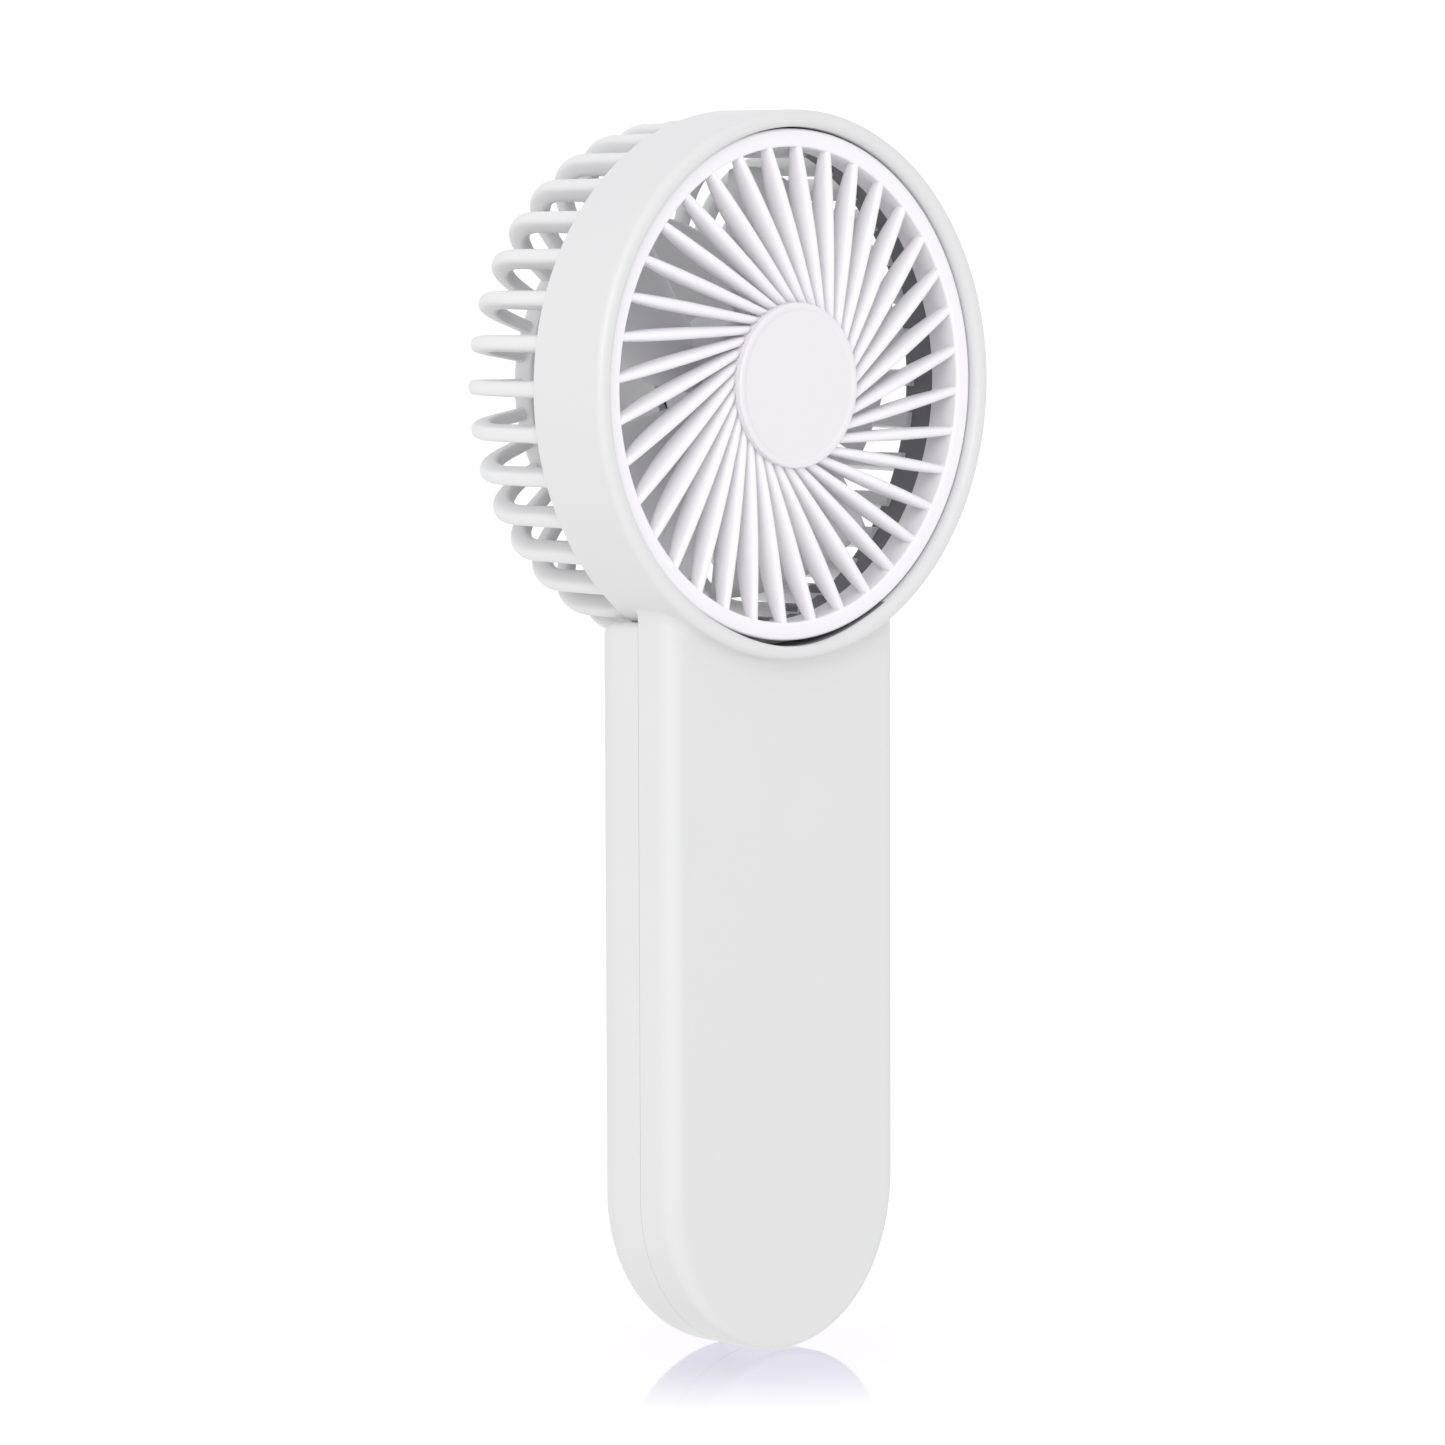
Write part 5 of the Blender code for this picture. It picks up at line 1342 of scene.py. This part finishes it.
def floor():
    """White studio floor that glows evenly, with a tinted gloss that fades from the fan's foot."""
    sizes = bpy.context.scene.fan_stage
    made = shown(bpy.data.meshes.new("studio_floor"), "studio_floor")
    shape = bmesh.new()
    bmesh.ops.create_grid(shape, x_segments=1, y_segments=1, size=FLOOR_SIZE,
                          matrix=Matrix.Translation((0.0, 0.0, -FLOOR_DROP)))
    shape.to_mesh(made.data)
    shape.free()
    look = bpy.data.materials.new("studio_floor")
    look.use_nodes = True
    tree = look.node_tree
    foot = node(tree, "ShaderNodeVectorMath", {
        0: object_place(tree), 1: (0.0, FOOT_PLACE, 0.0),
    }, operation="DISTANCE")
    fade = node(tree, "ShaderNodeMapRange", {
        "Value": foot.outputs["Value"], "From Min": GLOSS_FULL_TO, "From Max": GLOSS_ENDS_AT,
        "To Min": GLOSS_SHARE, "To Max": 0.0,
    }, interpolation_type="SMOOTHSTEP")
    seen = node(tree, "ShaderNodeLightPath").outputs["Is Camera Ray"]
    share = node(tree, "ShaderNodeMath", {0: fade.outputs[0], 1: seen}, operation="MULTIPLY")
    glow = node(tree, "ShaderNodeEmission", {
        "Strength": white_where_seen(tree, sizes.floor_light),
    })
    gloss = node(tree, "ShaderNodeBsdfGlossy", {
        "Color": (*bpy.context.scene.fan_colours.sheen, 1.0), "Roughness": GLOSS_ROUGHNESS,
    })
    mix = node(tree, "ShaderNodeMixShader", {
        0: share.outputs[0], 1: glow.outputs[0], 2: gloss.outputs[0],
    })
    tree.links.new(mix.outputs[0], tree.nodes["Material Output"].inputs["Surface"])
    made.data.materials.append(look)
    made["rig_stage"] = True


def surround():
    """Even white light, a little stronger from the left, and a plain white behind the fan."""
    sizes = bpy.context.scene.fan_stage
    world = bpy.data.worlds.new("studio")
    bpy.context.scene.world = world
    world.use_nodes = True
    tree = world.node_tree
    heading = node(tree, "ShaderNodeTexCoord").outputs["Generated"]
    towards = node(tree, "ShaderNodeVectorMath", {
        0: heading, 1: SURROUND_FROM,
    }, operation="DOT_PRODUCT")
    light = node(tree, "ShaderNodeMapRange", {
        "Value": towards.outputs["Value"], "From Min": -1.0, "From Max": 1.0,
        "To Min": sizes.surround * (1 - SURROUND_SWING),
        "To Max": sizes.surround * (1 + SURROUND_SWING),
    })
    background = tree.nodes["Background"].inputs
    background["Color"].default_value = (0.99, 0.99, 1.0, 1.0)
    tree.links.new(white_where_seen(tree, light.outputs[0]), background["Strength"])


def way_to(azimuth, elevation):
    """The direction from the fan to something at an azimuth and an elevation."""
    level = cos(elevation)
    return Vector((sin(azimuth) * level, -cos(azimuth) * level, sin(elevation)))


def soft_light(name, power, azimuth, elevation):
    """A large square light aimed just below the head."""
    lamp = bpy.data.lights.new(name, "AREA")
    lamp.energy = power
    lamp.size = LAMP_SIZE
    made = shown(lamp, name)
    away = way_to(azimuth, elevation)
    made.location = at(0.0, RING_REAR / 2, -40 * MM) + away * LAMP_DISTANCE
    made.rotation_euler = away.to_track_quat("Z", "Y").to_euler()


def camera():
    """The camera, placed about the middle of the head and aimed below it."""
    sizes = bpy.context.scene.fan_stage
    lens = bpy.data.cameras.new("camera")
    lens.lens = sizes.focal_length
    lens.sensor_width = SENSOR
    lens.clip_end = 100.0
    made = shown(lens, "camera")
    head = at(0.0, 0.0, 0.0)
    away = way_to(sizes.azimuth, sizes.elevation)
    made.location = head + away * sizes.distance
    right = Vector((0.0, 0.0, 1.0)).cross(away).normalized()
    above = away.cross(right)
    aim = head - right * sizes.aim_left - above * sizes.aim_below
    look = (aim - made.location).to_track_quat("-Z", "Y")
    rolled = Euler((0.0, 0.0, sizes.roll)).to_matrix()
    made.rotation_euler = (look.to_matrix() @ rolled).to_euler()
    bpy.context.scene.camera = made


def stage():
    """Floor, light and camera."""
    sizes = bpy.context.scene.fan_stage
    floor()
    surround()
    soft_light("key_light", sizes.key, radians(-50), radians(20))
    soft_light("side_light", sizes.fill, radians(30), radians(25))
    camera()
    bpy.context.scene.view_settings.view_transform = "Standard"


# ---------------------------------------------------------------- add-on

class HANDHELD_FAN_OT_front_housing(bpy.types.Operator):
    """Builds the ring and the front half of the handle"""

    bl_idname = "handheld_fan.front_housing"
    bl_label = "Front Housing"

    def execute(self, context):
        front_housing()
        return {"FINISHED"}


class HANDHELD_FAN_OT_back_cover(bpy.types.Operator):
    """Builds the back half of the handle with its holes"""

    bl_idname = "handheld_fan.back_cover"
    bl_label = "Back Cover"

    def execute(self, context):
        back_cover()
        return {"FINISHED"}


class HANDHELD_FAN_OT_front_grille(bpy.types.Operator):
    """Builds the rim and its swirling louvres"""

    bl_idname = "handheld_fan.front_grille"
    bl_label = "Front Grille"

    def execute(self, context):
        front_grille()
        return {"FINISHED"}


class HANDHELD_FAN_OT_grille_cap(bpy.types.Operator):
    """Builds the cap in the middle of the grille"""

    bl_idname = "handheld_fan.grille_cap"
    bl_label = "Grille Cap"

    def execute(self, context):
        grille_cap()
        return {"FINISHED"}


class HANDHELD_FAN_OT_rear_cage(bpy.types.Operator):
    """Builds the collar, ribs and hub plate at the back"""

    bl_idname = "handheld_fan.rear_cage"
    bl_label = "Rear Cage"

    def execute(self, context):
        rear_cage()
        return {"FINISHED"}


class HANDHELD_FAN_OT_rear_hub_cover(bpy.types.Operator):
    """Builds the disc over the motor"""

    bl_idname = "handheld_fan.rear_hub_cover"
    bl_label = "Rear Hub Cover"

    def execute(self, context):
        rear_hub_cover()
        return {"FINISHED"}


class HANDHELD_FAN_OT_impeller(bpy.types.Operator):
    """Builds the hub cup and its blades"""

    bl_idname = "handheld_fan.impeller"
    bl_label = "Impeller"

    def execute(self, context):
        impeller()
        return {"FINISHED"}


class HANDHELD_FAN_OT_power_button(bpy.types.Operator):
    """Builds the key with its finger dish"""

    bl_idname = "handheld_fan.power_button"
    bl_label = "Power Button"

    def execute(self, context):
        power_button()
        return {"FINISHED"}


class HANDHELD_FAN_OT_light_pins(bpy.types.Operator):
    """Builds the light bar and its four pins"""

    bl_idname = "handheld_fan.light_pins"
    bl_label = "Light Pins"

    def execute(self, context):
        light_pins()
        return {"FINISHED"}


class HANDHELD_FAN_OT_charging_port(bpy.types.Operator):
    """Builds the steel shell of the charging port"""

    bl_idname = "handheld_fan.charging_port"
    bl_label = "Charging Port"

    def execute(self, context):
        charging_port()
        return {"FINISHED"}


class HANDHELD_FAN_OT_case_screws(bpy.types.Operator):
    """Builds the four case screws"""

    bl_idname = "handheld_fan.case_screws"
    bl_label = "Case Screws"

    def execute(self, context):
        case_screws()
        return {"FINISHED"}


class HANDHELD_FAN_OT_inner_parts(bpy.types.Operator):
    """Gives the parts inside their finishes"""

    bl_idname = "handheld_fan.inner_parts"
    bl_label = "Inner Parts"

    def execute(self, context):
        inner_parts()
        return {"FINISHED"}


class HANDHELD_FAN_OT_stage(bpy.types.Operator):
    """Sets the floor, the light and the camera"""

    bl_idname = "handheld_fan.stage"
    bl_label = "Stage"

    def execute(self, context):
        stage()
        return {"FINISHED"}


OPERATORS = [
    HANDHELD_FAN_OT_front_housing,
    HANDHELD_FAN_OT_back_cover,
    HANDHELD_FAN_OT_front_grille,
    HANDHELD_FAN_OT_grille_cap,
    HANDHELD_FAN_OT_rear_cage,
    HANDHELD_FAN_OT_rear_hub_cover,
    HANDHELD_FAN_OT_impeller,
    HANDHELD_FAN_OT_power_button,
    HANDHELD_FAN_OT_light_pins,
    HANDHELD_FAN_OT_charging_port,
    HANDHELD_FAN_OT_case_screws,
    HANDHELD_FAN_OT_inner_parts,
    HANDHELD_FAN_OT_stage,
]


class HANDHELD_FAN_PT_sidebar(bpy.types.Panel):
    """Lists the fan's settings and the steps that build it."""

    bl_label = "Handheld Fan"
    bl_space_type = "VIEW_3D"
    bl_region_type = "UI"
    bl_category = "Handheld Fan"

    def draw(self, context):
        for step in OPERATORS:
            self.layout.operator(step.bl_idname)
        for group in GROUPS:
            box = self.layout.box()
            box.label(text=group.replace("fan_", "").title())
            for key in getattr(context.scene, group).bl_rna.properties.keys():
                if key not in ("rna_type", "name"):
                    box.prop(getattr(context.scene, group), key)


def register():
    for group, kind in GROUPS.items():
        bpy.utils.register_class(kind)
        setattr(bpy.types.Scene, group, PointerProperty(type=kind))
    for step in OPERATORS:
        bpy.utils.register_class(step)
    bpy.utils.register_class(HANDHELD_FAN_PT_sidebar)


def unregister():
    bpy.utils.unregister_class(HANDHELD_FAN_PT_sidebar)
    for step in reversed(OPERATORS):
        bpy.utils.unregister_class(step)
    for group, kind in reversed(GROUPS.items()):
        delattr(bpy.types.Scene, group)
        bpy.utils.unregister_class(kind)


def main():
    register()
    for step in OPERATORS:
        group, title = step.bl_idname.split(".")
        getattr(getattr(bpy.ops, group), title)()
    bpy.context.view_layer.update()


if __name__ == "__main__":
    main()
